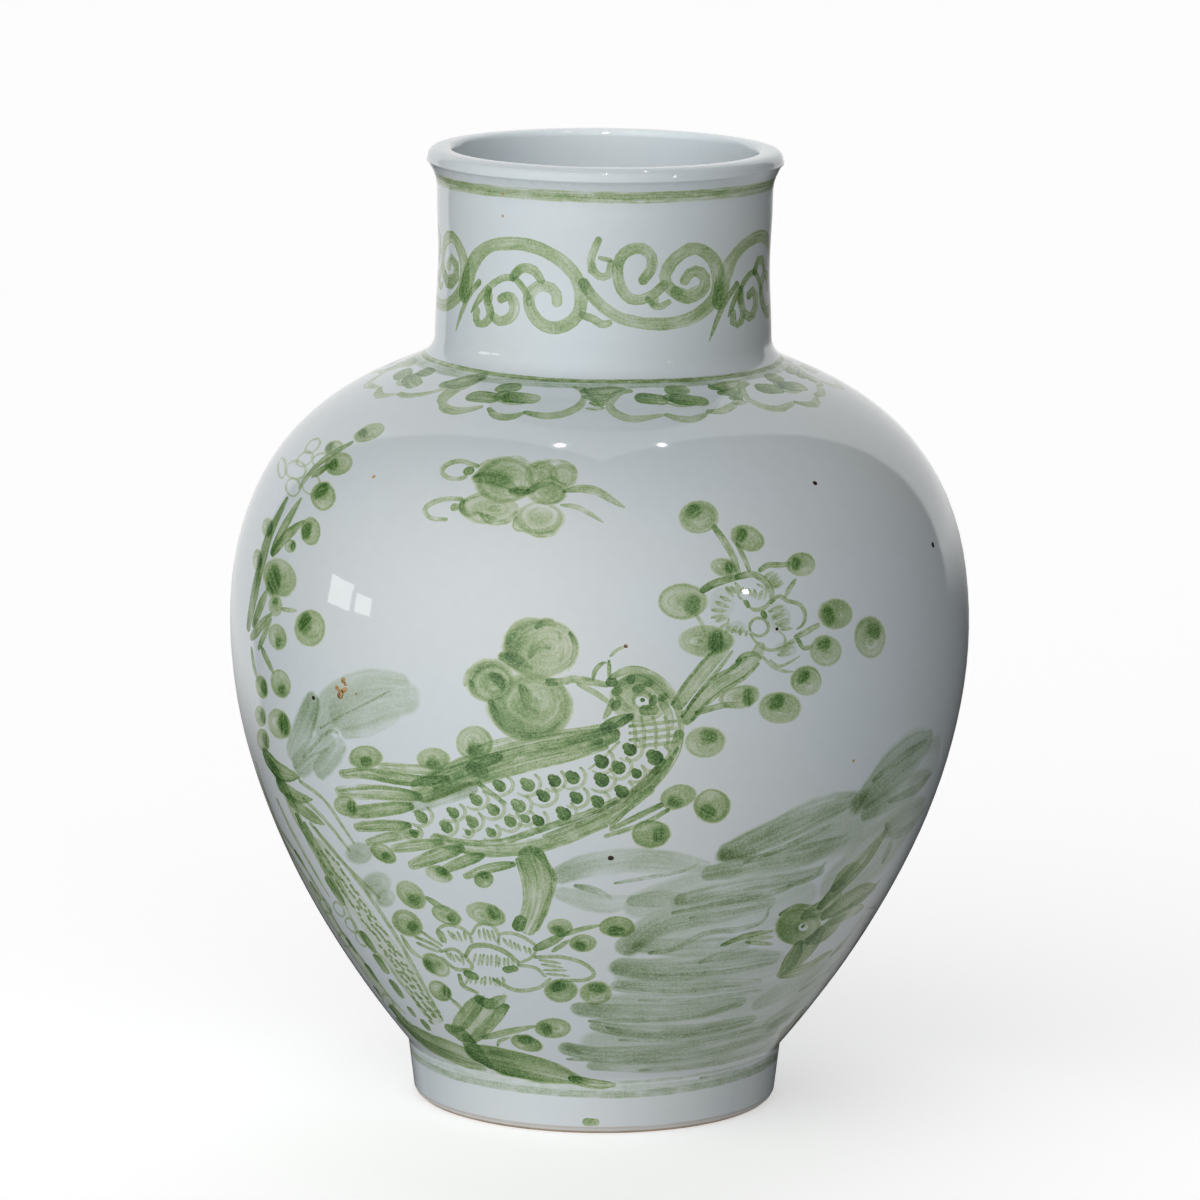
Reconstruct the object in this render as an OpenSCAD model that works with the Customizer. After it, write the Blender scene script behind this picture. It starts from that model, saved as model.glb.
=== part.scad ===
// Porcelain jar: thrown sections luted together with slip, then glazed.
// Millimetres. Origin at the centre of the foot's resting face, +Z up the axis.
// Radii and heights are those of the finished, glazed outside.

/* [Foot ring] */
// Height of the foot ring
foot_h = 26.2; // [14:0.1:45]
// Radius of the foot at the resting face
foot_r = 86.5; // [70:0.1:100]
// How far the foot widens up to the body
foot_flare = 3.3; // [0:0.1:6]
// Width of the foot ring
foot_w = 11; // [7:0.1:18]
// Bevel on both edges of the resting face
foot_bevel = 1.4; // [0.4:0.1:2.5]
// Height of the bare clay left below the glaze
bare_h = 3; // [2:0.1:8]

/* [Lower body] */
// Height of the lower body
lower_h = 203.1; // [150:0.1:260]
// Angle of the wall above the foot, from the level
lower_slope = 50.5; // [42:0.1:62]
// Reach of that slope up the wall
lower_reach = 72.6; // [50:0.1:90]
// Reach of the upright wall below the belly
lower_rise = 72.7; // [50:0.1:90]
// Thickness of the floor
base_t = 10; // [7:0.1:16]

/* [Upper body] */
// Radius of the belly, at the joint of the two body sections
belly_r = 175.9; // [150:0.1:200]
// Height of the upper body
upper_h = 137.8; // [115:0.1:170]
// Reach of the upright wall above the belly
upper_rise = 103.4; // [75:0.1:110]
// Slope of the shoulder where it nears the neck, from the level
shoulder_slope = 31.4; // [22:0.1:40]
// Reach of that slope down the shoulder
shoulder_reach = 17.2; // [10:0.1:35]
// Radius of the hollow between shoulder and neck
neck_fillet = 12.6; // [8:0.1:18]

/* [Neck and lip] */
// Radius of the neck at both ends
neck_r = 79.2; // [68:0.1:90]
// Height of the neck below its lip
neck_h = 68.9; // [45:0.1:100]
// Depth of the waist halfway up the neck
neck_waist = 1.2; // [0:0.1:2.5]
// How far the lip stands out from the neck
lip_out = 4.8; // [2:0.1:12]
// Height of the lip
lip_h = 18.6; // [14:0.1:28]
// Reach of the flare below the lip
lip_flare = 7; // [4:0.1:9]
// Rounding of the lip's outer edge
lip_edge = 4.2; // [2:0.1:4.5]
// Rounding of the mouth's edge
mouth_edge = 3; // [1.5:0.1:3.5]

/* [Walls] */
// Thickness of the clay wall
wall = 6; // [5:0.1:9]
// Thickness of a glaze coat
glaze = 0.6; // [0.4:0.1:0.8]
// Thickness of a slip joint
slip = 0.8; // [0.8:0.1:1.5]

/* [Hidden] */
$fn = 96;
curve_steps = 24;
neck_steps = 12;
round_steps = 6;

// Heights of the joints, from the resting face up
under_z = foot_h + slip;
belly_z = under_z + lower_h;
dome_z = belly_z + slip;
dome_top_z = dome_z + upper_h;
neck_z = dome_top_z + slip;
lip_z = neck_z + neck_h;
jar_h = lip_z + lip_h;

// Depths below the finished outside: clay, inner glaze, hollow
clay_d = glaze;
lining_d = clay_d + wall;
hollow_d = lining_d + glaze;

floor_z = under_z + base_t;
foot_top_r = foot_r + foot_flare;
recess_r = foot_top_r - foot_w;
mouth_r = neck_r - hollow_d;
lip_r = neck_r + lip_out;
foot_lean = foot_flare / under_z;
bare_r = foot_r + foot_lean * bare_h;

// A path is a list of [point, heading], each point as [radius, height].
// Seen along its heading, the material lies to the left of an outer path.
function heading(angle) = [cos(angle), sin(angle)];
function left(v) = [-v[1], v[0]];
function points(path, depth = 0) = [for (s = path) s[0] + depth * left(s[1])];
function backwards(list) = [for (i = [len(list) - 1:-1:0]) list[i]];
function rest(list, from) = [for (i = [from:len(list) - 1]) list[i]];

// Cubic curve from a to d, leaving towards b and arriving from c
function curve(a, b, c, d, steps) = [
    for (i = [0:steps])
        let (
            t = i / steps,
            u = 1 - t,
            spot = u * u * u * a + 3 * u * u * t * b + 3 * u * t * t * c + t * t * t * d,
            along = u * u * (b - a) + 2 * u * t * (c - b) + t * t * (d - c)
        )
        [spot, along / norm(along)]
];

// Arc about a centre; side is 1 where the angle grows and -1 where it falls
function arc(centre, r, from, to, side) = [
    for (i = [0:round_steps])
        let (angle = from + (to - from) * i / round_steps)
        [centre + r * heading(angle), side * left(heading(angle))]
];

// The part of a rising row of points above a level, cut at the level
function above(row, level) =
    let (
        k = min([for (i = [1:len(row) - 1]) if (row[i][1] > level) i]),
        a = row[k - 1],
        b = row[k]
    )
    concat([a + (b - a) * (level - a[1]) / (b[1] - a[1])], rest(row, k));

// Outside of the lower body, from the foot to the belly
foot_corner = [foot_top_r, under_z];
belly_low = [belly_r, belly_z];
lower_path = curve(
    foot_corner,
    foot_corner + lower_reach * heading(lower_slope),
    belly_low - [0, lower_rise],
    belly_low,
    curve_steps
);

// Outside of the upper body, from the belly to the upright hollow below the neck
belly_high = [belly_r, dome_z];
hollow_arc = arc([neck_r + neck_fillet, dome_top_z], neck_fillet, 270 - shoulder_slope, 180, -1);
shoulder_end = hollow_arc[0][0];
shoulder_path = curve(
    belly_high,
    belly_high + [0, upper_rise],
    shoulder_end - shoulder_reach * hollow_arc[0][1],
    shoulder_end,
    curve_steps
);
upper_path = concat(shoulder_path, rest(hollow_arc, 1));

// Outside of the neck, waisted between its upright ends
neck_path = [
    for (i = [0:neck_steps])
        let (
            t = i / neck_steps,
            along = [-neck_waist * PI * sin(360 * t), neck_h]
        )
        [[neck_r - neck_waist * (1 - cos(360 * t)) / 2, neck_z + neck_h * t], along / norm(along)]
];

// Outside of the lip, up to its crest
lip_side = [lip_r, jar_h - lip_edge];
lip_path = concat(
    curve([neck_r, lip_z], [neck_r, lip_z + lip_flare], lip_side - [0, lip_flare / 2], lip_side, round_steps),
    rest(arc([lip_r - lip_edge, jar_h - lip_edge], lip_edge, 0, 90, 1), 1)
);
crest_r = (lip_r - lip_edge + mouth_r + mouth_edge) / 2;

// Inside of the mouth, from the crest down to the upright neck wall
mouth_path = arc([mouth_r + mouth_edge, jar_h - mouth_edge], mouth_edge, 90, 180, 1);

// The outside at a depth, from the body's foot corner to the crest
function outside(depth) = concat(
    [[foot_top_r - depth, under_z]],
    rest(points(lower_path, depth), 1),
    points(upper_path, depth),
    points(neck_path, depth),
    rest(points(lip_path, depth), 1),
    [[crest_r, jar_h - depth]]
);

// The inside at a depth below the outer wall, from the floor's centre to the dome's top
function inside(depth, level) = concat(
    [[0, level]],
    above(points(lower_path, depth), level),
    points(upper_path, depth)
);

module turned(outline) {
    rotate_extrude()
        polygon(outline);
}

module slip_ring(inner_r, outer_r, z) {
    turned([[inner_r, z], [outer_r, z], [outer_r, z + slip], [inner_r, z + slip]]);
}

// Foot ring, bare at its resting face
module foot_ring() {
    clay_r = foot_r - glaze;
    inner_r = foot_r - foot_w;
    color("linen")
        turned([
            [inner_r + foot_bevel, 0],
            [clay_r - foot_bevel, 0],
            [clay_r + foot_lean * foot_bevel, foot_bevel],
            [clay_r + foot_lean * foot_h, foot_h],
            [recess_r, foot_h],
            [inner_r, foot_bevel],
        ]);
}

// Slip that lutes the foot ring to the floor
module foot_slip() {
    color("tan")
        turned([
            [recess_r, foot_h],
            [foot_r - glaze + foot_lean * foot_h, foot_h],
            [foot_top_r - glaze, under_z],
            [recess_r, under_z],
        ]);
}

// Thrown bowl with its floor
module lower_body() {
    color("linen")
        turned(concat(
            [[0, under_z], [foot_top_r - clay_d, under_z]],
            rest(points(lower_path, clay_d), 1),
            backwards(above(points(lower_path, lining_d), floor_z)),
            [[0, floor_z]]
        ));
}

// Slip that lutes the two body sections at the belly
module belly_slip() {
    color("tan")
        slip_ring(belly_r - lining_d, belly_r - clay_d, belly_z);
}

// Thrown shoulder dome, turned up to take the neck
module upper_body() {
    color("oldlace")
        turned(concat(
            points(upper_path, clay_d),
            backwards(points(upper_path, lining_d))
        ));
}

// Slip that lutes the neck to the shoulder
module neck_slip() {
    color("tan")
        slip_ring(neck_r - lining_d, neck_r - clay_d, dome_top_z);
}

// Thrown neck with its rolled lip
module neck() {
    color("linen")
        turned(concat(
            points(neck_path, clay_d),
            rest(points(lip_path, clay_d), 1),
            points(mouth_path, clay_d),
            [[mouth_r + glaze, neck_z]]
        ));
}

// Glaze over the outside, from above the bare foot to the lip's crest
module outer_glaze() {
    color("lightcyan", 0.6)
        turned(concat(
            [[bare_r, bare_h]],
            outside(0),
            backwards(outside(glaze)),
            [[bare_r - glaze, bare_h]]
        ));
}

// Glaze over the inside, from the lip's crest to the floor
module inner_glaze() {
    color("azure", 0.6)
        turned(concat(
            inside(hollow_d, floor_z + glaze),
            [[mouth_r, neck_z]],
            backwards(points(mouth_path)),
            [[crest_r, jar_h], [crest_r, jar_h - glaze]],
            points(mouth_path, glaze),
            [[mouth_r + glaze, neck_z]],
            backwards(inside(lining_d, floor_z))
        ));
}

// Glaze under the floor, inside the foot ring
module base_glaze() {
    color("azure")
        translate([0, 0, under_z - glaze])
            cylinder(h = glaze, r = recess_r);
}

foot_ring();
foot_slip();
lower_body();
belly_slip();
upper_body();
neck_slip();
neck();
outer_glaze();
inner_glaze();
base_glaze();
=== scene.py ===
"""Dresses the porcelain jar: its painted glaze, its lining, its foot and a plain studio."""

import math
import random

import bmesh
import bpy
import numpy as np
from mathutils import Matrix, Vector
from mathutils.geometry import delaunay_2d_cdt


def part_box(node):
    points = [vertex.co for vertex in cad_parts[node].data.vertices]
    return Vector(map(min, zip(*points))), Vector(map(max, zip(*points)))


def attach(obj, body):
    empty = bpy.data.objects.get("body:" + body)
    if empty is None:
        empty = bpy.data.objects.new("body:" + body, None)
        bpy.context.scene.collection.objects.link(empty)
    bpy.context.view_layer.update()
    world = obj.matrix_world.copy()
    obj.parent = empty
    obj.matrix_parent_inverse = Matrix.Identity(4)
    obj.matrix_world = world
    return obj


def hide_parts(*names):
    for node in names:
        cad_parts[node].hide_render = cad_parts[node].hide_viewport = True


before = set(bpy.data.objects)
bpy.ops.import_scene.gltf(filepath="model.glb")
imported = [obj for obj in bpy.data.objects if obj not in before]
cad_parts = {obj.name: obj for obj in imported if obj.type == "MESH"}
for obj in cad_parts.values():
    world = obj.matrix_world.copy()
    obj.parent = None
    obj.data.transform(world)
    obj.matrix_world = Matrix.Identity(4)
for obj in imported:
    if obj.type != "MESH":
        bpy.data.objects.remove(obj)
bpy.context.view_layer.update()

bl_info = {
    "name": "Porcelain Jar",
    "version": (1, 0, 0),
    "blender": (4, 5, 0),
    "location": "View3D > Sidebar > Jar",
    "description": "Builds the glaze, the brush painting, the foot and the studio of a porcelain jar",
    "category": "Object",
}

IMAGE_SIZE = 1200  # pixels along each side of the photograph
SENSOR = 36.0  # millimetres across the camera's sensor
PIXELS_PER_METRE = 2250  # at the front of the belly
GLAZE_LOW, GLAZE_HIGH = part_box("outer_glaze")
FOOT_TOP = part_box("foot_ring")[1].z
JAR_TOP = GLAZE_HIGH.z
BARE_TOP = GLAZE_LOW.z


def colour_setting(name, description, default):
    return bpy.props.FloatVectorProperty(
        name=name, description=description, subtype="COLOR", default=default
    )


def length_setting(name, description, default):
    return bpy.props.FloatProperty(name=name, description=description, subtype="DISTANCE", default=default)


class JarGlaze(bpy.types.PropertyGroup):
    """Colours and finish of the glaze and of the painting under it."""

    glaze: colour_setting("Glaze", "Colour of the blue-white glaze", (0.62, 0.675, 0.705))
    pigment: colour_setting(
        "Pigment", "Share of light that one full brush load lets through", (0.36, 0.485, 0.21)
    )
    wash: colour_setting(
        "Wash", "Share of light that a full load of the cool wash lets through", (0.385, 0.478, 0.285)
    )
    iron: colour_setting("Iron", "Colour of a thin iron stain", (0.50, 0.315, 0.14))
    roughness: bpy.props.FloatProperty(
        name="Roughness",
        description="Roughness of the fired glaze",
        subtype="FACTOR",
        default=0.035,
        min=0.0,
        max=1.0,
    )
    unevenness: length_setting("Unevenness", "How far the thrown wall strays from a true round", 0.00025)


class JarTurning(bpy.types.PropertyGroup):
    """How finely the turned pieces are made, and the marks of the wheel on them."""

    columns: bpy.props.IntProperty(
        name="Columns",
        description="Faces once round the painted skin",
        default=128,
        min=48,
    )
    widest_row: length_setting("Widest Row", "Largest height of a row of faces on the skin", 0.009)
    ring_depth: length_setting("Ring Depth", "Depth of the throwing rings on the inside", 0.00018)
    ring_pitch: length_setting("Ring Pitch", "Height from one throwing ring to the next", 0.011)


class JarStudio(bpy.types.PropertyGroup):
    """Camera and light."""

    distance: length_setting("Camera Distance", "Level distance from the jar's axis to the camera", 3.336)
    height: length_setting("Camera Height", "Height of the camera above the floor", 0.863)
    aim: length_setting("Aim Height", "Height on the axis that the camera looks at", 0.240)
    roll: bpy.props.FloatProperty(
        name="Roll",
        description="Lean of the camera",
        subtype="ANGLE",
        default=math.radians(0.7),
    )
    lens: bpy.props.FloatProperty(
        name="Lens",
        description="Focal length",
        subtype="DISTANCE_CAMERA",
        default=213.4,
    )
    daylight: bpy.props.FloatProperty(
        name="Daylight",
        description="Strength of the soft light all round",
        default=1.0,
    )
    floor: colour_setting("Floor", "Colour of the floor", (0.93, 0.93, 0.93))


class Wire:
    """A node's output that takes part in arithmetic."""

    def __init__(self, graph, socket):
        self.graph = graph
        self.socket = socket

    def maths(self, operation, *values):
        return self.graph.node("ShaderNodeMath", {"operation": operation}, dict(enumerate(values)))

    def __add__(self, other):
        return self.maths("ADD", self, other)

    def __sub__(self, other):
        return self.maths("SUBTRACT", self, other)

    def __rsub__(self, other):
        return self.maths("SUBTRACT", other, self)

    def __mul__(self, other):
        return self.maths("MULTIPLY", self, other)

    def __truediv__(self, other):
        return self.maths("DIVIDE", self, other)

    def __pow__(self, other):
        return self.maths("POWER", self, other)

    def __rpow__(self, other):
        return self.maths("POWER", other, self)

    def least(self, other):
        return self.maths("MINIMUM", self, other)

    def most(self, other):
        return self.maths("MAXIMUM", self, other)

    def sine(self):
        return self.maths("SINE", self)

    def cosine(self):
        return self.maths("COSINE", self)

    def fade(self, low, high):
        """Smoothly 0 at low and 1 at high."""
        return self.graph.node(
            "ShaderNodeMapRange",
            {"interpolation_type": "SMOOTHSTEP"},
            {"Value": self, "From Min": low, "From Max": high},
        )

    __radd__ = __add__
    __rmul__ = __mul__


class Graph:
    """Adds nodes to one node tree."""

    def __init__(self, tree):
        self.tree = tree

    def node(self, kind, settings=None, inputs=None, output=0):
        """Makes a node: its settings are set first, then its sockets are filled or linked."""
        made = self.tree.nodes.new(kind)
        for name, value in (settings or {}).items():
            setattr(made, name, value)
        for key, value in (inputs or {}).items():
            if isinstance(value, Wire):
                self.tree.links.new(value.socket, made.inputs[key])
            else:
                made.inputs[key].default_value = value
        return Wire(self, made.outputs[output]) if made.outputs else None

    def parts(self, vector):
        """The three numbers of a vector."""
        split = self.node("ShaderNodeSeparateXYZ", None, {0: vector})
        outputs = split.socket.node.outputs
        return [Wire(self, outputs[axis]) for axis in range(3)]

    def attribute(self, name):
        return self.node("ShaderNodeAttribute", {"attribute_name": name}, None, output="Vector")

    def vector(self, x, y, z):
        return self.node("ShaderNodeCombineXYZ", None, {0: x, 1: y, 2: z})

    def colour(self, red, green, blue):
        return self.node("ShaderNodeCombineColor", None, {0: red, 1: green, 2: blue})

    def noise(self, place, scale, detail=2.0, rough=0.5):
        return self.node(
            "ShaderNodeTexNoise",
            None,
            {"Vector": place, "Scale": scale, "Detail": detail, "Roughness": rough},
        )

    def tint(self, factor, low, high, kind="MIX"):
        """Mixes two colours."""
        return self.node(
            "ShaderNodeMix",
            {"data_type": "RGBA", "blend_type": kind},
            {0: factor, 6: low, 7: high},
            output=2,
        )

    def bump(self, height, strength, distance):
        return self.node(
            "ShaderNodeBump",
            None,
            {"Strength": strength, "Distance": distance, "Height": height},
        )


def new_material(name):
    """An empty material and the graph to fill it with."""
    material = bpy.data.materials.new(name)
    material.use_nodes = True
    material.node_tree.nodes.clear()
    return material, Graph(material.node_tree)


def finish_surface(graph, inputs):
    """Ends a material in one surface shader."""
    surface = graph.node("ShaderNodeBsdfPrincipled", None, inputs)
    graph.node("ShaderNodeOutputMaterial", None, {"Surface": surface})


def object_place(graph):
    return graph.node("ShaderNodeTexCoord", None, None, output="Object")


def section_of(node):
    """The outline of a turned node in radius and height, in order, from its lowest outer point up.

    A node that reaches the axis has an open outline, which starts at its upper end there.
    """
    merge = 0.00005
    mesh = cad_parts[node].data
    corners = []
    cells = {}

    def corner_at(vertex):
        radius = math.hypot(vertex.co.x, vertex.co.y)
        column = round(radius / merge)
        row = round(vertex.co.z / merge)
        for near_column in (column - 1, column, column + 1):
            for near_row in (row - 1, row, row + 1):
                if (near_column, near_row) in cells:
                    return cells[near_column, near_row]
        cells[column, row] = len(corners)
        corners.append((radius, vertex.co.z))
        return cells[column, row]

    def low_and_wide(index):
        radius, height = corners[index]
        return round(height, 5), -radius

    owner = [corner_at(vertex) for vertex in mesh.vertices]
    links = [set() for _ in corners]
    for edge in mesh.edges:
        first, second = (owner[index] for index in edge.vertices)
        if first != second:
            links[first].add(second)
            links[second].add(first)

    ends = [index for index in range(len(corners)) if len(links[index]) == 1]
    if ends:
        start = min(ends, key=lambda index: -corners[index][1])
    else:
        start = min(range(len(corners)), key=low_and_wide)
    path = [start]
    onward = sorted(links[start], key=lambda index: -corners[index][1])
    while onward:
        path.append(onward[0])
        here = corners[onward[0]]
        onward = [index for index in links[path[-1]] if index not in path]
        onward.sort(key=lambda index: math.dist(corners[index], here))
    return [corners[index] for index in path]


def thinned(path, slack):
    """Leaves out the points of a path that lie within slack of the line past them."""
    first, last = np.array(path[0]), np.array(path[-1])
    if len(path) < 3:
        return list(path)
    line = last - first
    length = np.linalg.norm(line)
    away = [abs(line[0] * (p[1] - first[1]) - line[1] * (p[0] - first[0])) / length for p in path]
    far = int(np.argmax(away))
    if away[far] < slack:
        return [path[0], path[-1]]
    return thinned(path[: far + 1], slack)[:-1] + thinned(path[far:], slack)


def run_along(points):
    """How far along a broken line each of its points lies."""
    return np.concatenate([[0], np.cumsum(np.linalg.norm(np.diff(points, axis=0), axis=1))])


class Wall:
    """The glazed outside as a smooth line, measured along the wall from the foot to the lip's crest."""

    STEP = 0.00025
    FOOT_JOINT = 0.0008  # height of the slip between the foot and the wall
    SOFTENING = 0.0012  # how far the glaze rounds off a corner
    RIDGE_BELOW_TOP = 0.0058
    RIDGE_HEIGHT = 0.0008
    RIDGE_SPREAD = 0.0008
    TURN_PER_ROW = 0.11
    NARROWEST_ROW = 0.0006
    CALM_FOOT = 0.03  # the wall is true at both ends, over these lengths
    CALM_LIP = 0.05
    SWAY_LIFT = 0.9  # keeps the uneven glaze clear of its own hidden side
    # Strength of each wave of the unevenness, its turns round and up the jar, and its start
    SWAYS = ((1.0, 2, 9, 1.3), (0.6, 3, -21, 0.4), (0.45, 5, 33, 2.1), (0.25, 1, 88, 0.0))
    NUDGE = 0.0005

    def __init__(self, loop):
        top = max(height for _, height in loop)
        crest = min(
            (index for index in range(len(loop)) if loop[index][1] > top - 1e-5),
            key=lambda index: loop[index][0],
        )
        outer = np.array(loop[: crest + 1])
        self.hidden = [tuple(point) for point in loop[crest + 1 :]]
        corner = int(np.argmin(np.abs(outer[:, 1] - FOOT_TOP - self.FOOT_JOINT)))
        path = np.concatenate([self.straight(outer[: corner + 1]), self.rounded(outer[corner:])[1:]])
        path = self.softened(path)
        ridge = np.exp(-(((path[:, 1] - top + self.RIDGE_BELOW_TOP) / self.RIDGE_SPREAD) ** 2))
        path[:, 0] += self.RIDGE_HEIGHT * ridge * (path[:, 0] > path[-1, 0])
        self.radius = path[:, 0]
        self.height = path[:, 1]
        self.along = run_along(path)
        heading = np.gradient(path, self.along, axis=0)
        heading /= np.linalg.norm(heading, axis=1)[:, None]
        self.out = np.stack([heading[:, 1], -heading[:, 0]], axis=1)
        self.bend = np.abs(np.gradient(np.unwrap(np.arctan2(heading[:, 1], heading[:, 0])), self.along))
        self.length = self.along[-1]

    def straight(self, points):
        """Evenly spaced points along a broken line."""
        reach = run_along(points)
        spots = np.linspace(0, reach[-1], int(reach[-1] / self.STEP) + 2)
        return np.stack([np.interp(spots, reach, points[:, axis]) for axis in (0, 1)], axis=1)

    def rounded(self, points):
        """Evenly spaced points along a smooth curve through the given ones."""
        reach = run_along(points)
        slope = np.gradient(points, reach, axis=0)
        spots = np.linspace(0, reach[-1], int(reach[-1] / self.STEP) + 2)
        piece = np.clip(np.searchsorted(reach, spots, side="right") - 1, 0, len(points) - 2)
        span = (reach[piece + 1] - reach[piece])[:, None]
        t = (spots - reach[piece])[:, None] / span
        return (
            (2 * t**3 - 3 * t**2 + 1) * points[piece]
            + (t**3 - 2 * t**2 + t) * span * slope[piece]
            + (3 * t**2 - 2 * t**3) * points[piece + 1]
            + (t**3 - t**2) * span * slope[piece + 1]
        )

    def softened(self, path):
        """Rounds the corners of a path off, and keeps its ends."""
        reach = int(3 * self.SOFTENING / self.STEP)
        weight = np.exp(-0.5 * (np.arange(-reach, reach + 1) * self.STEP / self.SOFTENING) ** 2)
        weight /= weight.sum()
        before = 2 * path[0] - path[reach:0:-1]
        after = 2 * path[-1] - path[-2 : -reach - 2 : -1]
        padded = np.concatenate([before, path, after])
        return np.stack([np.convolve(padded[:, axis], weight, "valid") for axis in (0, 1)], axis=1)

    def radius_at(self, along):
        return np.interp(along, self.along, self.radius)

    def radius_at_height(self, height):
        """Outer radius at a height, and nothing above or below the jar."""
        return np.interp(height, self.height, self.radius, left=0.0, right=0.0)

    def along_at_height(self, height):
        return np.interp(height, self.height, self.along)

    def rows(self, widest):
        """Places along the wall for rows of faces, closer where the wall bends."""
        wanted = np.clip(self.bend / self.TURN_PER_ROW, 1 / widest, 1 / self.NARROWEST_ROW)
        count = np.concatenate([[0], np.cumsum((wanted[1:] + wanted[:-1]) / 2 * np.diff(self.along))])
        return list(np.interp(np.linspace(0, count[-1], math.ceil(count[-1]) + 1), count, self.along))

    def surface(self, angle, along, unevenness):
        """Points of the slightly uneven surface and the directions that it faces."""
        angle = np.asarray(angle)
        along = np.asarray(along)
        nudge = self.NUDGE

        def spot(angle, along):
            return self.place(angle, np.clip(along, 0, self.length), unevenness)

        across = spot(angle + nudge, along) - spot(angle - nudge, along)
        upward = spot(angle, along + nudge) - spot(angle, along - nudge)
        facing = np.cross(across, upward)
        return spot(angle, along), facing / np.linalg.norm(facing, axis=1)[:, None]

    def place(self, angle, along, unevenness):
        height = np.interp(along, self.along, self.height)
        calm_ends = np.clip(along / self.CALM_FOOT, 0, 1)
        calm_ends = calm_ends * np.clip((self.length - along) / self.CALM_LIP, 0, 1)
        sway = sum(
            strength * np.sin(around * angle + up * height + start)
            for strength, around, up, start in self.SWAYS
        )
        sway = sway + self.SWAY_LIFT
        radius = self.radius_at(along) + unevenness * calm_ends * sway
        return np.stack([radius * np.sin(angle), -radius * np.cos(angle), height], axis=1)


class Viewpoint:
    """The camera of the photograph, which the painting is laid out from too."""

    NEARER = 0.2  # a ray looks for the wall from this far before the axis
    FURTHER = 0.25  # to this far behind it
    LOOKS = 220
    HALVINGS = 18

    def __init__(self, studio):
        self.spot = np.array((0.0, -studio.distance, studio.height))
        ahead = np.array((0.0, 0.0, studio.aim)) - self.spot
        self.ahead = ahead / np.linalg.norm(ahead)
        level = np.cross(self.ahead, (0.0, 0.0, 1.0))
        level /= np.linalg.norm(level)
        upright = np.cross(level, self.ahead)
        lean = studio.roll
        self.side = level * math.cos(lean) + upright * math.sin(lean)
        self.rise = upright * math.cos(lean) - level * math.sin(lean)
        self.focus = studio.lens / SENSOR * IMAGE_SIZE

    def matrix(self):
        axes = np.stack([self.side, self.rise, -self.ahead], axis=1)
        turned = Matrix([list(row) for row in axes]).to_4x4()
        return Matrix.Translation(Vector(self.spot)) @ turned

    def land(self, pixels, wall):
        """Where pixels of the photograph fall on the wall: the angle round it and the place along it."""
        pixels = np.asarray(pixels, dtype=float)
        middle = IMAGE_SIZE / 2
        rays = (
            self.ahead * self.focus
            + (pixels[:, :1] - middle) * self.side
            - (pixels[:, 1:] - middle) * self.rise
        )
        rays /= np.linalg.norm(rays, axis=1)[:, None]
        reach = np.linalg.norm(self.spot[:2])
        steps = np.linspace(reach - self.NEARER, reach + self.FURTHER, self.LOOKS)

        def gap(distance):
            spots = self.spot + rays[:, None, :] * distance[..., None]
            return np.hypot(spots[..., 0], spots[..., 1]) - wall.radius_at_height(spots[..., 2])

        gaps = gap(np.broadcast_to(steps, (len(pixels), len(steps))))
        inside = gaps < 0
        hit = inside.any(axis=1)
        first = np.where(hit, inside.argmax(axis=1), gaps.argmin(axis=1))
        far = steps[first][:, None]
        near = np.where(hit[:, None], steps[np.maximum(first - 1, 0)][:, None], far)
        for _ in range(self.HALVINGS):
            half = (near + far) / 2
            within = gap(half) < 0
            far = np.where(within, half, far)
            near = np.where(within, near, half)
        spots = self.spot + rays * far
        angle = np.arctan2(spots[:, 0], -spots[:, 1])
        return angle, wall.along_at_height(spots[:, 2])


def smooth_curve(points, samples=10):
    """Points along a smooth curve through the given ones."""
    spots = np.asarray(points, dtype=float)
    if len(spots) < 3:
        t = np.linspace(0, 1, 2 * samples)[:, None]
        return spots[0] * (1 - t) + spots[-1] * t
    spots = np.concatenate([[2 * spots[0] - spots[1]], spots, [2 * spots[-1] - spots[-2]]])
    t = np.linspace(0, 1, samples, endpoint=False)[:, None]
    pieces = []
    for before, start, end, after in zip(spots, spots[1:], spots[2:], spots[3:]):
        pieces.append(
            start
            + 0.5 * t * (end - before)
            + t**2 * (before - 2.5 * start + 2 * end - 0.5 * after)
            + t**3 * (1.5 * start - 0.5 * before - 1.5 * end + 0.5 * after)
        )
    return np.concatenate(pieces + [spots[-2:-1]])


class Mark:
    """One stroke of the brush as a ribbon of four-cornered patches on the flat chart of the wall.

    Each row of the ribbon keeps how far it is from the stroke's start and from its end,
    in half widths; both are negative past the rounded ends. Sides says where the ribbon's
    left and right edges lie, from -1 to 1 across the stroke itself.
    """

    MARGIN = 1.3  # a ribbon is wider than its stroke, to leave room for the soft edge

    def __init__(self, left, right, since, until, pigment, sides=(-MARGIN, MARGIN)):
        self.left = left
        self.right = right
        self.since = since
        self.until = until
        self.pigment = pigment  # ink, dryness and seed
        self.sides = sides


EVEN = (0.85, 0.8)
TAPERED = (0.6, 0.4)
POINTED = (0.9, 0.2)
GROWING = (0.2, 0.9)
SOFT = 1.4  # a dryness above 1 also softens the edge of a stroke


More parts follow.
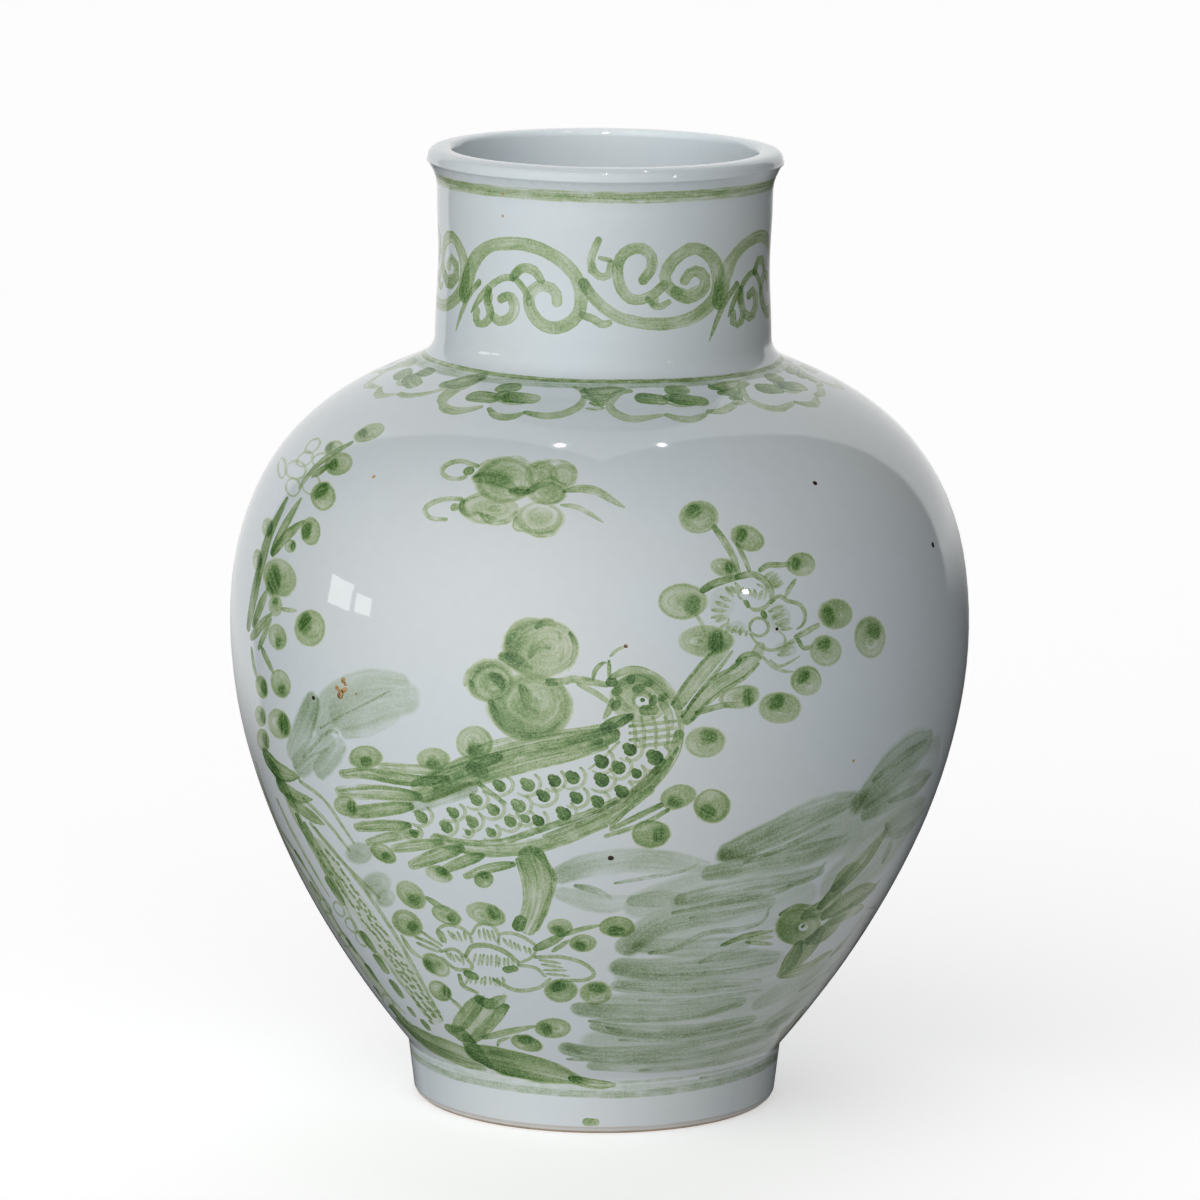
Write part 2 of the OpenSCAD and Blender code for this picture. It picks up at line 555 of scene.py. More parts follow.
class Painting:
    """All the strokes on the jar, on a chart of the angle round it and the place along its wall."""

    CHART_RADIUS = 0.14
    CLOSEST_ROWS = 0.0016
    WIDEST_ROWS = 0.006
    ROWS_PER_WIDTH = 0.55
    TURN_PER_ROW = 0.35
    COOL_SEED = 2.0  # added to a stroke's seed where the pigment is a thin, cool wash
    CHANCE_SEED = 7
    LEAST_RADIUS = 0.02
    LEAST_LENGTH = 0.2  # share of its width that a stroke is at least long
    LEAST_BEND = 0.01
    OPENING = 0.35  # share of a stroke's length over which it comes to its full width
    CLOSING = 0.45  # share over which it narrows again
    RING_RUN = 10  # half widths by which a ring seems to go on past its ends
    RING_OVERLAP = 0.1
    RING_POINTS = 260
    EDGE = 0.0005  # strokes keep this far from the lower and upper end of the wall

    def __init__(self, wall, viewpoint):
        self.wall = wall
        self.viewpoint = viewpoint
        self.marks = []
        self.chance = random.Random(self.CHANCE_SEED)

    def seed(self, cool):
        return self.chance.random() + self.COOL_SEED * cool

    def lay(self, angle, along, width, ink, ends=TAPERED, dry=0.4, cool=False, ring=False, spread=1.0):
        """Lays one stroke along a line of the chart. Width is in metres, ends are shares of it."""
        widths = np.broadcast_to(width, np.shape(angle))
        width = float(widths.mean())
        radius = np.maximum(self.wall.radius_at(along), self.LEAST_RADIUS)
        middle = (radius[1:] + radius[:-1]) / 2
        steps = np.stack([np.diff(angle) * middle, np.diff(along)], axis=1)
        reach = np.concatenate([[0], np.cumsum(np.hypot(steps[:, 0], steps[:, 1]))])
        length = max(reach[-1], width * self.LEAST_LENGTH)
        spacing = self.WIDEST_ROWS
        if not ring:
            bend = np.abs(np.diff(np.unwrap(np.arctan2(steps[:, 1], steps[:, 0])))).sum()
            turning = max(bend, self.LEAST_BEND) / length
            spacing = min(self.ROWS_PER_WIDTH * width, self.TURN_PER_ROW / turning)
            spacing = min(max(spacing, self.CLOSEST_ROWS) * spread, self.WIDEST_ROWS)
        count = max(int(length / spacing) + 2, 3)
        spots = np.linspace(0, reach[-1], count)
        angle = np.interp(spots, reach, angle)
        along = np.interp(spots, reach, along)
        radius = self.wall.radius_at(along)
        flat = np.stack([angle * radius.mean(), along], axis=1)
        heading = np.gradient(flat, axis=0)
        heading /= np.maximum(np.linalg.norm(heading, axis=1), 1e-9)[:, None]
        half = np.interp(spots, reach, widths) / 2
        since = spots / (width / 2)
        until = (reach[-1] - spots) / (width / 2)
        margin = Mark.MARGIN
        if ring:
            since = since + self.RING_RUN
            until = until + self.RING_RUN
        else:
            start = np.clip(spots / (self.OPENING * length), 0, 1)
            end = np.clip((reach[-1] - spots) / (self.CLOSING * length), 0, 1)
            half = half * (ends[0] + (1 - ends[0]) * start * (2 - start))
            half = half * (ends[1] + (1 - ends[1]) * end * (2 - end))
            first = margin * half[0]
            last = margin * half[-1]
            angle = np.concatenate([
                [angle[0] - heading[0, 0] * first / radius[0]],
                angle,
                [angle[-1] + heading[-1, 0] * last / radius[-1]],
            ])
            along = np.concatenate([
                [along[0] - heading[0, 1] * first], along, [along[-1] + heading[-1, 1] * last]
            ])
            half = np.concatenate([half[:1], half, half[-1:]])
            heading = np.concatenate([heading[:1], heading, heading[-1:]])
            since = np.concatenate([[-margin], since, [since[-1] + margin]])
            until = np.concatenate([[until[0] + margin], until, [-margin]])
            radius = self.wall.radius_at(along)
        aside = half * margin
        turn = heading[:, 1] * aside / np.maximum(radius, self.LEAST_RADIUS)
        climb = heading[:, 0] * aside
        left = self.on_wall(angle - turn, along + climb)
        right = self.on_wall(angle + turn, along - climb)
        self.marks.append(Mark(left, right, since, until, (ink, dry, self.seed(cool))))

    def on_wall(self, angle, along):
        """Points of the chart, kept off its lower and upper edge."""
        return np.stack([angle, np.clip(along, self.EDGE, self.wall.length - self.EDGE)], axis=1)

    def spin(self, centre, rim, ink, dry, cool, inner):
        """Lays a stroke that turns on the spot: a fan of patches from near a centre out past a rim."""
        hub = np.array(centre)
        rim = np.array(rim)
        near = hub + inner * (rim - hub)
        far = hub + Mark.MARGIN * (rim - hub)
        near = self.on_wall(near[:, 0], near[:, 1])
        far = self.on_wall(far[:, 0], far[:, 1])
        turn = math.pi - np.abs(np.linspace(-math.pi, math.pi, len(rim)))
        across = far[0] - near[0]
        onward = near[1] - near[0]
        if across[0] * onward[1] - across[1] * onward[0] < 0:
            near, far = near[::-1], far[::-1]
        endless = np.full_like(turn, math.pi)
        pigment = (ink, dry, self.seed(cool))
        self.marks.append(Mark(near, far, turn, endless, pigment, (inner, Mark.MARGIN)))

    def ring(self, along, width, ink, dry, sway, cool):
        """A band once round the jar."""
        reach = math.pi + self.RING_OVERLAP
        angle = np.linspace(-reach, reach, self.RING_POINTS)
        shift = self.chance.uniform(0, math.tau)
        wander = sway * (np.sin(2 * angle + shift) + 0.5 * np.sin(5 * angle + 2 * shift))
        self.lay(angle, along + wander, width, ink, dry=dry, cool=cool, ring=True)

    def rings(self, along, bands, sway=0.0006):
        """Several bands, each with its rise above a place, its width, ink and dryness, and cool or not."""
        for rise, width, ink, dry, cool in bands:
            self.ring(along + rise, width, ink, dry, sway, cool)


class Brush:
    """Draws in pixels of the photograph, on a jar that may be turned first to reach its other sides."""

    HIDDEN_SPREAD = 2.2  # rows of strokes lie further apart on the sides that the photograph hides
    NARROWEST = 0.85  # limits of a stroke's width on the wall, as shares of its width seen straight on
    WIDEST = 2.4
    DAB_ENDS = (1.0, 0.92)
    LOOP_ENDS = (0.8, 0.6)
    LOOP_POINTS = 14
    SWIRL_POINTS = 13
    OFF_CENTRE = 0.3  # a swirl turns about a spot this far from its middle
    BERRY_INK = 0.48
    PATCH_INK = 0.72
    PATCH_OFFSET = 0.4
    VEIN_OFFSET = 0.36

    def __init__(self, painting, turn=0.0, squeeze=1.0, about=0.0):
        self.painting = painting
        self.turn = math.radians(turn)
        self.squeeze = squeeze
        self.about = math.radians(about)
        self.spread = self.HIDDEN_SPREAD if turn else 1.0

    def land(self, points):
        angle, along = self.painting.viewpoint.land(np.array(points, dtype=float), self.painting.wall)
        return (angle - self.about) * self.squeeze + self.about + self.turn, along

    def line(self, points, width, ink, ends=TAPERED, dry=0.4, cool=False):
        """One stroke through the points; its width is in pixels."""
        path = smooth_curve(points)
        angle, along = self.land(path)
        wide = self.footprint(path, width)
        self.painting.lay(angle, along, wide, ink, ends, dry, cool, spread=self.spread)

    def footprint(self, path, width):
        """How wide a stroke is on the wall, to look as wide as this in the photograph."""
        aside = np.gradient(path, axis=0)[:, ::-1] * (1, -1)
        aside *= width / 2 / np.maximum(np.linalg.norm(aside, axis=1), 1e-6)[:, None]
        angle, along = self.land(np.concatenate([path + aside, path - aside]))
        count = len(path)
        radius = self.painting.wall.radius_at(along[:count])
        around = (angle[:count] - angle[count:]) / self.squeeze * radius
        wide = np.hypot(around, along[:count] - along[count:])
        straight_on = width / PIXELS_PER_METRE
        return np.clip(wide, self.NARROWEST * straight_on, self.WIDEST * straight_on)

    def lines(self, strokes, ends=TAPERED, dry=0.4, cool=False, wider=1.0, fuller=1.0):
        """Several strokes, each a width, an ink and its points."""
        for width, ink, points in strokes:
            self.line(points, wider * width, fuller * ink, ends, dry, cool)

    def dab(self, x, y, length, width, tilt=0.0, ink=1.2, dry=0.25, cool=False):
        """A short touch of the brush, fullest where it starts; tilt is in degrees, anticlockwise."""
        reach = max(length - width, 0.1 * width) / 2
        step = (reach * math.cos(math.radians(tilt)), -reach * math.sin(math.radians(tilt)))
        ends = ((x - step[0], y - step[1]), (x + step[0], y + step[1]))
        self.line(ends, width, ink, self.DAB_ENDS, dry, cool)

    def dabs(self, touches, dry=0.25):
        """Several touches, each a place, a length, a width, a tilt and an ink."""
        for touch in touches:
            self.dab(*touch, dry=dry)

    def oval(self, x, y, wide, high, tilt, start, sweep, steps):
        """Points round an oval, clockwise from a starting direction."""
        lean = math.radians(tilt)
        points = []
        for step in np.linspace(0, sweep, steps):
            turn = math.radians(start - step)
            across = wide * math.cos(turn)
            up = high * math.sin(turn)
            points.append((
                x + across * math.cos(lean) - up * math.sin(lean),
                y - across * math.sin(lean) - up * math.cos(lean),
            ))
        return points

    def loop(self, x, y, wide, high, tilt, width, ink, turns=1.0, start=200.0, dry=0.5):
        """A stroke round an oval."""
        points = self.oval(x, y, wide, high, tilt, start, 360 * turns, int(self.LOOP_POINTS * turns) + 3)
        self.line(points, width, ink, self.LOOP_ENDS, dry)

    def swirl(self, x, y, wide, high, tilt=0.0, ink=0.65, start=200.0, dry=0.75, cool=False, hole=0.02):
        """A full brush turned once on the spot, darkest where the turn begins."""
        away = math.radians(start + 180)
        hub = (x + self.OFF_CENTRE * wide * math.cos(away), y - self.OFF_CENTRE * high * math.sin(away))
        count = int((self.SWIRL_POINTS + wide / 4) / self.spread) + 2
        points = self.oval(x, y, wide, high, tilt, start, 360, count)
        angle, along = self.land([hub] + points)
        spots = np.stack([angle, along], axis=1)
        self.painting.spin(spots[0], spots[1:], ink, dry, cool, hole)

    def swirls(self, turns, dry):
        """Several swirls, each a place, two radii, a tilt, an ink and a starting direction."""
        for turn in turns:
            self.swirl(*turn, dry=dry)

    def berry(self, x, y, wide, high, tilt, side, ink):
        """A turned touch with a loaded dark patch towards one side."""
        chance = self.painting.chance
        girth = (wide + high) / 2
        self.swirl(x, y, wide, high, tilt, ink, start=side + chance.uniform(-50, 50), dry=0.8)
        lean = math.radians(side)
        x += self.PATCH_OFFSET * wide * math.cos(lean)
        y -= self.PATCH_OFFSET * high * math.sin(lean)
        self.dab(x, y, 1.25 * girth, 0.95 * girth, side + 90, self.PATCH_INK, dry=SOFT)

    def berries(self, group, ink=BERRY_INK):
        for berry in group:
            self.berry(*berry, ink)

    def feather(self, points, width, ink):
        """A leaf-shaped stroke with darker edges."""
        path = smooth_curve(points, samples=5)
        aside = np.gradient(path, axis=0)[:, ::-1] * (1, -1)
        aside /= np.maximum(np.linalg.norm(aside, axis=1), 1e-6)[:, None]
        bulge = np.sin(np.linspace(0.3, math.pi - 0.2, len(path)))[:, None]
        self.line(points, width, 0.85 * ink, ends=(0.6, 0.7), dry=0.9)
        for side in (-self.VEIN_OFFSET, self.VEIN_OFFSET):
            edge = path + aside * side * width * bulge
            self.line(edge, 0.24 * width, 0.7 * ink, ends=(0.7, 0.5), dry=0.6)


# A stroke is a width, an ink and the points on its way; lengths are in pixels of the photograph
SCROLL_STEMS = (
    (12, 0.72, ((465, 293), (470, 272), (478, 256), (490, 246.5), (506, 243.5), (525, 244.5), (545, 251),
                (563, 262), (575, 276), (581, 293), (580, 310), (571, 322), (556, 328), (541, 324),
                (531, 311), (529, 297), (535, 288), (545, 286), (555, 291), (557, 302))),
    (11.5, 0.72, ((583, 283), (592, 296), (604, 308), (618, 317), (638, 322.5), (662, 324), (687, 320),
                  (702, 311), (714, 299), (718, 286), (717, 269), (709, 255), (694, 248.5), (679, 255.5),
                  (668, 268), (665, 281), (673, 291), (687, 298), (702, 291), (705, 279), (698, 271),
                  (690, 273), (685, 280))),
    (10.5, 0.78, ((643.5, 280), (651.5, 269), (651.5, 257), (643.5, 249), (632.5, 249), (621, 257),
                  (617.5, 271), (620.5, 287), (629, 298), (640, 300), (653, 295), (664, 285))),
)
SCROLL_CURLS = (
    (9, 0.75, ((513, 277), (520, 269), (527.5, 268), (536, 272), (541, 280))),
    (9.5, 0.7, ((501, 299), (508, 296), (514, 302), (514, 312), (508, 319), (500, 321), (493, 316))),
    (7, 0.85, ((489, 290), (487, 299), (490, 309), (490, 317), (485, 323), (479, 323), (476.5, 317),
               (477.5, 311))),
    (7.5, 0.65, ((581.5, 315), (593, 319), (602, 324.5), (609, 323))),
    (6.5, 0.7, ((648, 299), (655, 306), (662, 306), (669, 302))),
    (7.5, 0.65, ((598.5, 240), (592.5, 254), (591, 266), (599, 276), (608, 275), (611, 263))),
    (4.5, 0.65, ((610.5, 260.5), (600, 258))),
    (13, 0.5, ((676, 292), (688, 297), (699, 291))),
)
SCROLL_BLADE = ((736, 284), (724, 303), (716, 322), (709, 341))
SCROLL_TENDRIL = ((472, 312), (481, 297), (493, 284), (505, 277.5), (515, 279), (523, 288), (528, 297))
SCROLL_STARTS = (
    (466, 290), (584, 286), (489, 298), (655, 302), (592, 268), (619, 262), (529, 300), (718, 284),
)


def neck_scroll(brush):
    """One repeat of the leafy scroll on the neck."""
    brush.lines(SCROLL_STEMS + SCROLL_CURLS, EVEN, dry=0.6, wider=1.12, fuller=0.86)
    brush.line(SCROLL_TENDRIL, 7, 0.8, GROWING)
    brush.line(SCROLL_BLADE, 5, 0.75, POINTED)
    for x, y in SCROLL_STARTS:
        brush.dab(x, y, 13, 8, tilt=75, ink=0.35, dry=0.8)


RING_UNDER_LIP = (600, 197.5)
RING_AT_NECK_FOOT = (633, 381.5)
SCROLL_START = (466, 294)
SCROLL_END = (720, 294)
SCROLL_REPEATS = 3  # beside the one in the photograph
LIP_RINGS = ((0.0, 0.0062, 0.5, 1.1, False), (0.0005, 0.0026, 0.45, 0.7, False))
LIP_RING_SWAY = 0.0003
NECK_FOOT_RINGS = ((0.0, 0.0026, 0.75, 0.8, False), (-0.0026, 0.0068, 0.6, 1.0, True))


def neck_bands(painting):
    """Rings under the lip and at the foot of the neck, and the scroll between them."""
    front = Brush(painting)
    painting.rings(front.land([RING_UNDER_LIP])[1][0], LIP_RINGS, LIP_RING_SWAY)
    painting.rings(front.land([RING_AT_NECK_FOOT])[1][0], NECK_FOOT_RINGS)
    start, end = np.degrees(front.land([SCROLL_START, SCROLL_END])[0])
    neck_scroll(front)
    span = end - start
    share = (360 - span) / SCROLL_REPEATS
    for repeat in range(SCROLL_REPEATS):
        neck_scroll(Brush(painting, span + repeat * share, squeeze=share / span, about=start))


LEFT_LAPPET = (
    (8.5, 0.68, ((481, 378), (469, 383.5), (455, 389), (444, 398), (444, 407), (455, 411), (469, 409.5),
                 (480, 407))),
    (7, 0.72, ((489, 408.5), (494, 414.5), (504, 417.5), (516, 415.5), (524, 412.5))),
    (7, 0.62, ((526, 412.5), (538, 415), (550, 416), (566, 413), (579, 406), (584, 397), (581, 390),
               (575, 387))),
)
RIGHT_LAPPET = (
    (7.5, 0.53, ((629, 391), (620, 392), (612, 399.5), (610, 407), (618, 414.5), (632, 419), (647, 417.5),
                (662, 415))),
    (6.5, 0.5, ((667, 415), (677, 418), (691, 419.5), (702, 416), (707, 413))),
    (6.5, 0.5, ((709, 411.5), (721, 411), (733, 405), (737.5, 397), (734, 390.5), (724, 386))),
)
WEDGE = (
    (8, 0.85, ((584, 391), (600, 391.5), (623, 389))),
    (8, 0.75, ((587, 397), (599, 398), (614, 394))),
    (6, 0.65, ((592, 403), (600, 404), (607, 401))),
    (3, 0.6, ((587, 408.5), (596, 409), (606, 408))),
    (3.5, 0.8, ((584, 388), (592, 398), (603, 408))),
)
LEFT_WEDGE = ((446, 384), (458, 383), (470, 380), (481, 377))
LEFT_TREFOIL = (503, 394)
RIGHT_TREFOIL = (671, 396)
OTHER_LAPPETS = 7
TREFOIL_TOUCHES = (
    (-19, 3, 27, 11, -6, 0.85, 0.8), (6, -6, 19, 9.5, 4, 0.75, 0.8), (18, 4, 32, 10.5, -5, 0.85, 0.8),
    (-1, 1, 12, 8, 40, 0.7, 0.5),
)
TREFOIL_STALK = ((-4, 7), (8, 10), (24, 9))


def trefoil(brush, x, y):
    """The three-touch leaf that fills a lappet."""
    for across, down, *touch in TREFOIL_TOUCHES:
        brush.dab(x + across, y + down, *touch)
    brush.line([(x + across, y + down) for across, down in TREFOIL_STALK], 2.5, 0.6)


def lappet(brush):
    """One lobed lappet on the shoulder and the filled wedge at its left."""
    brush.lines(RIGHT_LAPPET, dry=0.6)
    brush.lines(WEDGE, dry=0.8)
    trefoil(brush, *RIGHT_TREFOIL)


def shoulder_band(painting):
    """The lappets round the shoulder."""
    front = Brush(painting)
    front.lines(LEFT_LAPPET, dry=0.5)
    front.feather(LEFT_WEDGE, 11, 0.85)
    trefoil(front, *LEFT_TREFOIL)
    lappet(front)
    left, right = np.degrees(front.land([LEFT_TREFOIL, RIGHT_TREFOIL])[0])
    share = (360 - (right - left)) / (OTHER_LAPPETS + 1)
    for place in range(1, OTHER_LAPPETS + 1):
        lappet(Brush(painting, place * share))


BUTTERFLY_WINGS = (
    (504, 480, 30, 23, 0, 0.5, 150), (541, 474, 17, 14.5, 0, 0.5, 100),
    (562, 477, 15.5, 14, 0, 0.34, 60), (547, 493, 21, 12, 0, 0.48, 20),
    (489, 509, 31, 14.5, 0, 0.42, 190), (539, 518, 25, 17.5, 0, 0.36, 250),
)
BUTTERFLY_BANDS = (
    (19, 0.62, ((477, 478), (491, 477), (505, 482), (516, 490))),
    (8, 0.55, ((476, 476), (484, 469), (494, 463), (508, 460), (520, 459), (532, 466))),
    (4, 0.4, ((478, 467), (486, 461.5), (496, 459.5))),
    (11, 0.7, ((529, 491), (541, 483), (550, 479), (559, 483), (567, 486))),
    (5, 0.5, ((534, 467), (545, 460.5), (556, 461), (569, 464), (577, 474), (569, 485))),
    (5.5, 0.5, ((564, 491), (558, 501), (545, 503), (531, 498))),
    (14, 0.75, ((512, 491), (522, 492), (532, 492))),
    (9, 0.75, ((463, 501), (461.5, 508), (468, 514), (478, 512.5))),
    (5, 0.5, ((463, 502), (475, 495.5), (491, 493))),
    (9, 0.6, ((481, 514), (488, 521), (499, 522), (510, 519.5), (516, 512.5))),
    (8, 0.5, ((516, 518), (515, 528), (526, 530), (538.5, 535), (554, 532), (562, 521), (559.5, 511),
              (550, 507))),
    (6, 0.6, ((487, 515), (490, 518), (496, 519))),
)
BUTTERFLY_FEELERS = (
    (5, 0.62, ((477, 466), (461, 461), (448, 464), (442, 471), (447, 477), (458, 479), (465, 477))),
    (5, 0.5, ((461, 499), (445, 499), (430, 504), (425, 511), (431, 518), (446, 519.5))),
)
BUTTERFLY_TAILS = (
    (8.5, 0.55, ((565, 491), (580.5, 488.5), (597.5, 491.5), (614, 501), (624, 507))),
    (5.5, 0.4, ((561, 505), (576.5, 507), (590.5, 514), (603, 522))),
)
BUTTERFLY_HEADS = ((469, 471, 10, 9, 0, 0.9), (455, 507, 9, 8, 0, 0.6))


def butterfly(brush):
    """A plump butterfly of turned touches with curled feelers."""
    brush.swirls(BUTTERFLY_WINGS, dry=0.9)
    brush.lines(BUTTERFLY_BANDS, dry=SOFT)
    brush.lines(BUTTERFLY_FEELERS, EVEN, dry=0.9)
    brush.lines(BUTTERFLY_TAILS, (0.4, 0.25), dry=1.0)
    brush.dabs(BUTTERFLY_HEADS)


BOUGH_BRANCHES = (
    (15, 0.5, ((678, 704), (692, 686), (708, 666), (724, 649))),
    (4, 1.0, ((672, 704), (685, 684), (701, 664), (715, 650))),
    (4, 0.7, ((688, 708), (702, 689), (718, 670), (732, 652))),
    (14, 0.5, ((687, 719), (702, 700), (718, 685), (738, 673), (753, 661), (760, 648))),
    (4, 1.0, ((682, 716), (697, 696), (713, 679), (732, 668), (746, 658))),
    (4.5, 0.75, ((692, 720), (708, 703), (724, 690), (744, 678), (758, 664))),
    (5, 0.7, ((740, 660), (736, 664), (731, 668))),
    (6, 0.75, ((697, 713), (720, 706), (740, 704))),
    (7, 0.7, ((714, 527), (722, 538), (732, 555), (738, 572))),
    (5, 0.75, ((737, 544), (743, 556), (749, 570))),
    (8, 0.95, ((703, 590), (713, 584), (725, 580), (737, 577))),
    (7, 0.75, ((737, 577), (752, 574), (764, 580), (771, 590), (772, 598))),
    (6, 0.65, ((760, 570), (768, 565), (779, 565), (789, 564))),
    (6, 0.6, ((796, 637), (806, 632), (818, 625))),
    (5, 0.7, ((798, 640), (804, 648), (812, 646))),
    (6, 0.95, ((661, 805), (640, 815), (612, 829))),
    (5, 0.75, ((668, 810), (642, 824), (606, 836))),
    (4, 0.4, ((697, 616), (702, 624), (704, 632))),
)
BOUGH_BERRIES = (
    (698.5, 516.5, 20.5, 16.5, 5, 130), (747, 538, 18.5, 13, -25, 150), (801, 564.5, 14.5, 12, 0, 170),
    (683, 601.5, 25, 18, 0, -20), (705.5, 641, 27.5, 16, 0, 0), (835.5, 614, 18, 16, 0, 200),
    (870, 637, 16.5, 21.5, 0, 60), (825.5, 650.5, 17, 16, 0, 110), (806.5, 681, 15.5, 15, 0, 130),
    (739.5, 697, 21.5, 12, 10, 0), (780, 708, 21, 16, 0, 120), (705.5, 742, 21, 16.5, 0, 70),
    (678, 797, 19, 12.5, 15, 250), (712, 806, 19, 17.5, 0, 240), (651, 834, 20, 14.5, 0, 0),
    (723.5, 567, 14, 9.5, -10, 0),
)
BLOSSOM_OUTLINES = (
    (4.5, 0.5, ((771, 600), (765, 607), (755, 610), (748, 606))),
    (4.5, 0.6, ((771, 603), (779, 596), (788, 601), (799, 604), (805, 613), (803, 624), (797, 629))),
    (3, 0.4, ((729, 619), (727, 627), (733, 631), (745, 631))),
    (3.5, 0.5, ((750, 634), (757, 643), (769, 650), (783, 647), (785, 638), (778, 630))),
    (4, 0.45, ((763, 657), (772, 666), (783, 671), (793, 672))),
    (3, 0.45, ((770, 660), (779, 666), (790, 662), (800, 656))),
    (6, 0.75, ((737, 661), (745, 655), (756, 654), (761, 659))),
    (5, 0.55, ((795, 580), (789, 589), (785, 597))),
    (3, 0.5, ((743, 588), (738, 595), (744, 601))),
    (3, 0.45, ((757, 584), (766, 590), (764, 600))),
)
BLOSSOM_PETALS = (
    (722, 603, 14, 17), (777, 618, 15, 16), (772, 581, 10, 11), (786, 649, 12, 10), (737, 628, 10, 8),
)
BLOSSOM_HEART = (759, 627)
BLOSSOM_SPOTS = ((764, 615, 9, 6, -60, 0.9), (747, 604, 9, 5, -60, 0.8))
HATCH_STRAY = 1.2
BLOSSOM_HATCH = (
    (((726, 589), (734, 597)), ((712, 609), (725, 611)), 4),
    (((713, 617), (725, 615)), ((725, 633), (731, 626)), 4),
    (((770, 612), (782, 606)), ((780, 630), (792, 628)), 6),
    (((765, 578), (773, 572)), ((776, 588), (784, 583)), 5),
    (((787, 643), (797, 638)), ((778, 656), (792, 653)), 4),
    (((727, 588), (735, 594)), ((736, 584), (741, 592)), 3),
    (((733, 632), (737, 626)), ((746, 635), (748, 630)), 3),
    (((748, 590), (751, 597)), ((762, 592), (759, 600)), 3),
)


def hatched(groups, chance):
    """Short strokes spread by hand from the first stroke of each group to its last."""
    for first, last, count in groups:
        for share in np.linspace(0, 1, count):
            stray = [[chance.uniform(-HATCH_STRAY, HATCH_STRAY) for _ in range(2)] for _ in range(2)]
            yield np.array(first) * (1 - share) + np.array(last) * share + np.array(stray)


def bough(brush):
    """The flowering bough behind the bird, with its berries."""
    brush.lines(BOUGH_BRANCHES, EVEN, dry=0.8)
    brush.berries(BOUGH_BERRIES)
    for x, y, wide, high in BLOSSOM_PETALS:
        brush.swirl(x, y, wide, high, ink=0.12, dry=1.0, cool=True)
    brush.lines(BLOSSOM_OUTLINES, dry=0.6)
    for stroke in hatched(BLOSSOM_HATCH, brush.painting.chance):
        brush.line(stroke, 4.4, 0.36, dry=0.9)
    brush.loop(*BLOSSOM_HEART, 9.5, 9, 0, 3.5, 0.6)
    brush.dabs(BLOSSOM_SPOTS)


HELD_LOBES = (
    (542, 648, 39, 31, 0, 0.47, 190), (491, 681, 25, 22.5, 0, 0.6, 130),
    (531, 706, 42, 33.5, 0, 0.56, 230),
)
HELD_SHADES = (
    (27, 0.5, ((512, 652), (517, 637), (527, 628), (540, 625))),
    (10, 0.4, ((507, 643), (514, 628), (529, 621), (545, 622))),
    (11, 0.7, ((537, 627), (547, 621.5), (555, 625))),
    (8, 0.8, ((570, 633), (575.5, 645), (573, 661), (569, 670))),
    (6.5, 0.35, ((559, 633), (562.5, 648), (559, 666))),
    (11, 0.6, ((530, 656), (533, 649.5), (539.5, 645), (549, 648))),
    (20, 0.75, ((503, 657), (516, 662), (530, 668))),
    (5.5, 0.3, ((465, 685), (467, 674), (473, 666))),
    (7, 0.6, ((471, 681), (474.5, 692), (482, 698), (491, 700))),
    (8, 0.35, ((477, 671), (485, 665), (494, 664))),
    (17, 0.75, ((493, 676), (500, 681), (503, 688))),
    (14, 0.95, ((492, 703), (495, 713), (504, 725), (518, 734), (533, 736), (548, 732), (559, 724))),
    (6, 0.4, ((551.5, 690), (556, 700), (551.5, 713), (542, 722))),
    (6, 0.4, ((563, 687), (570, 698), (570, 709), (563, 722))),
    (17, 0.75, ((522, 688), (526.5, 697), (525.5, 708))),
    (6, 0.35, ((504, 703), (511, 717), (524, 726))),
)
HELD_STALK = ((549, 682), (562, 681.5), (575, 679), (593, 682), (607, 685))
BEAK = (
    (6, 0.55, ((578, 684), (594, 692), (608, 702), (613, 707))),
    (5, 0.95, ((593, 679), (595, 671), (601, 664), (606, 662.5))),
    (4.5, 0.95, ((609, 661), (609.5, 682))),
    (3.5, 0.5, ((610.5, 656), (617, 650), (626, 646))),
)


def held_leaf(brush):
    """The three-lobed leaf in the bird's beak, each lobe one broad turn of the brush."""
    brush.swirls(HELD_LOBES, dry=1.0)
    brush.lines(HELD_SHADES, dry=SOFT)
    brush.line(HELD_STALK, 8, 0.85, (1.0, 0.6), dry=0.8)
    brush.lines(BEAK, dry=0.5)


HEAD_STROKES = (
    (10, 0.6, ((612, 677), (628, 670), (645, 672.5), (660, 681.5), (672, 695), (680, 716), (681, 738))),
    (9, 0.6, ((616, 686), (630, 679), (648, 681), (661, 692), (668, 706))),
    (8, 0.55, ((618, 697), (624, 706), (633, 711))),
    (9, 0.55, ((660, 700), (668, 712), (672, 726))),
    (12, 0.95, ((603, 727), (612, 723), (622, 720), (632, 715))),
    (7, 0.6, ((612, 700), (609, 710), (604, 718))),
)
HEAD_SPOTS = (
    (612, 682, 11, 8, 0), (617, 691, 10, 7, 30), (631, 679, 9, 8, 70), (639, 688, 12, 7, 25),
    (649, 683, 8, 7, 0), (653, 700, 10, 7, 80), (649, 710, 17, 9, 0), (616, 705, 10, 8, 60),
    (663, 697, 9, 7, 40),
)
HEAD_GROUND = (640, 697, 31, 26, 0, 0.4, 100)
THROAT_ROWS = (724, 731, 738, 745)
THROAT_COLUMNS = (632, 641, 653, 665)
ROW_SLANT = ((630, 2), (650, 0), (676, -3))  # where a row passes, and how far below its own height
COLUMN_SLANT = ((0, 717), (3, 732), (3, 748))  # how far right of its own place a column passes, and where
EYE = (642.5, 700)


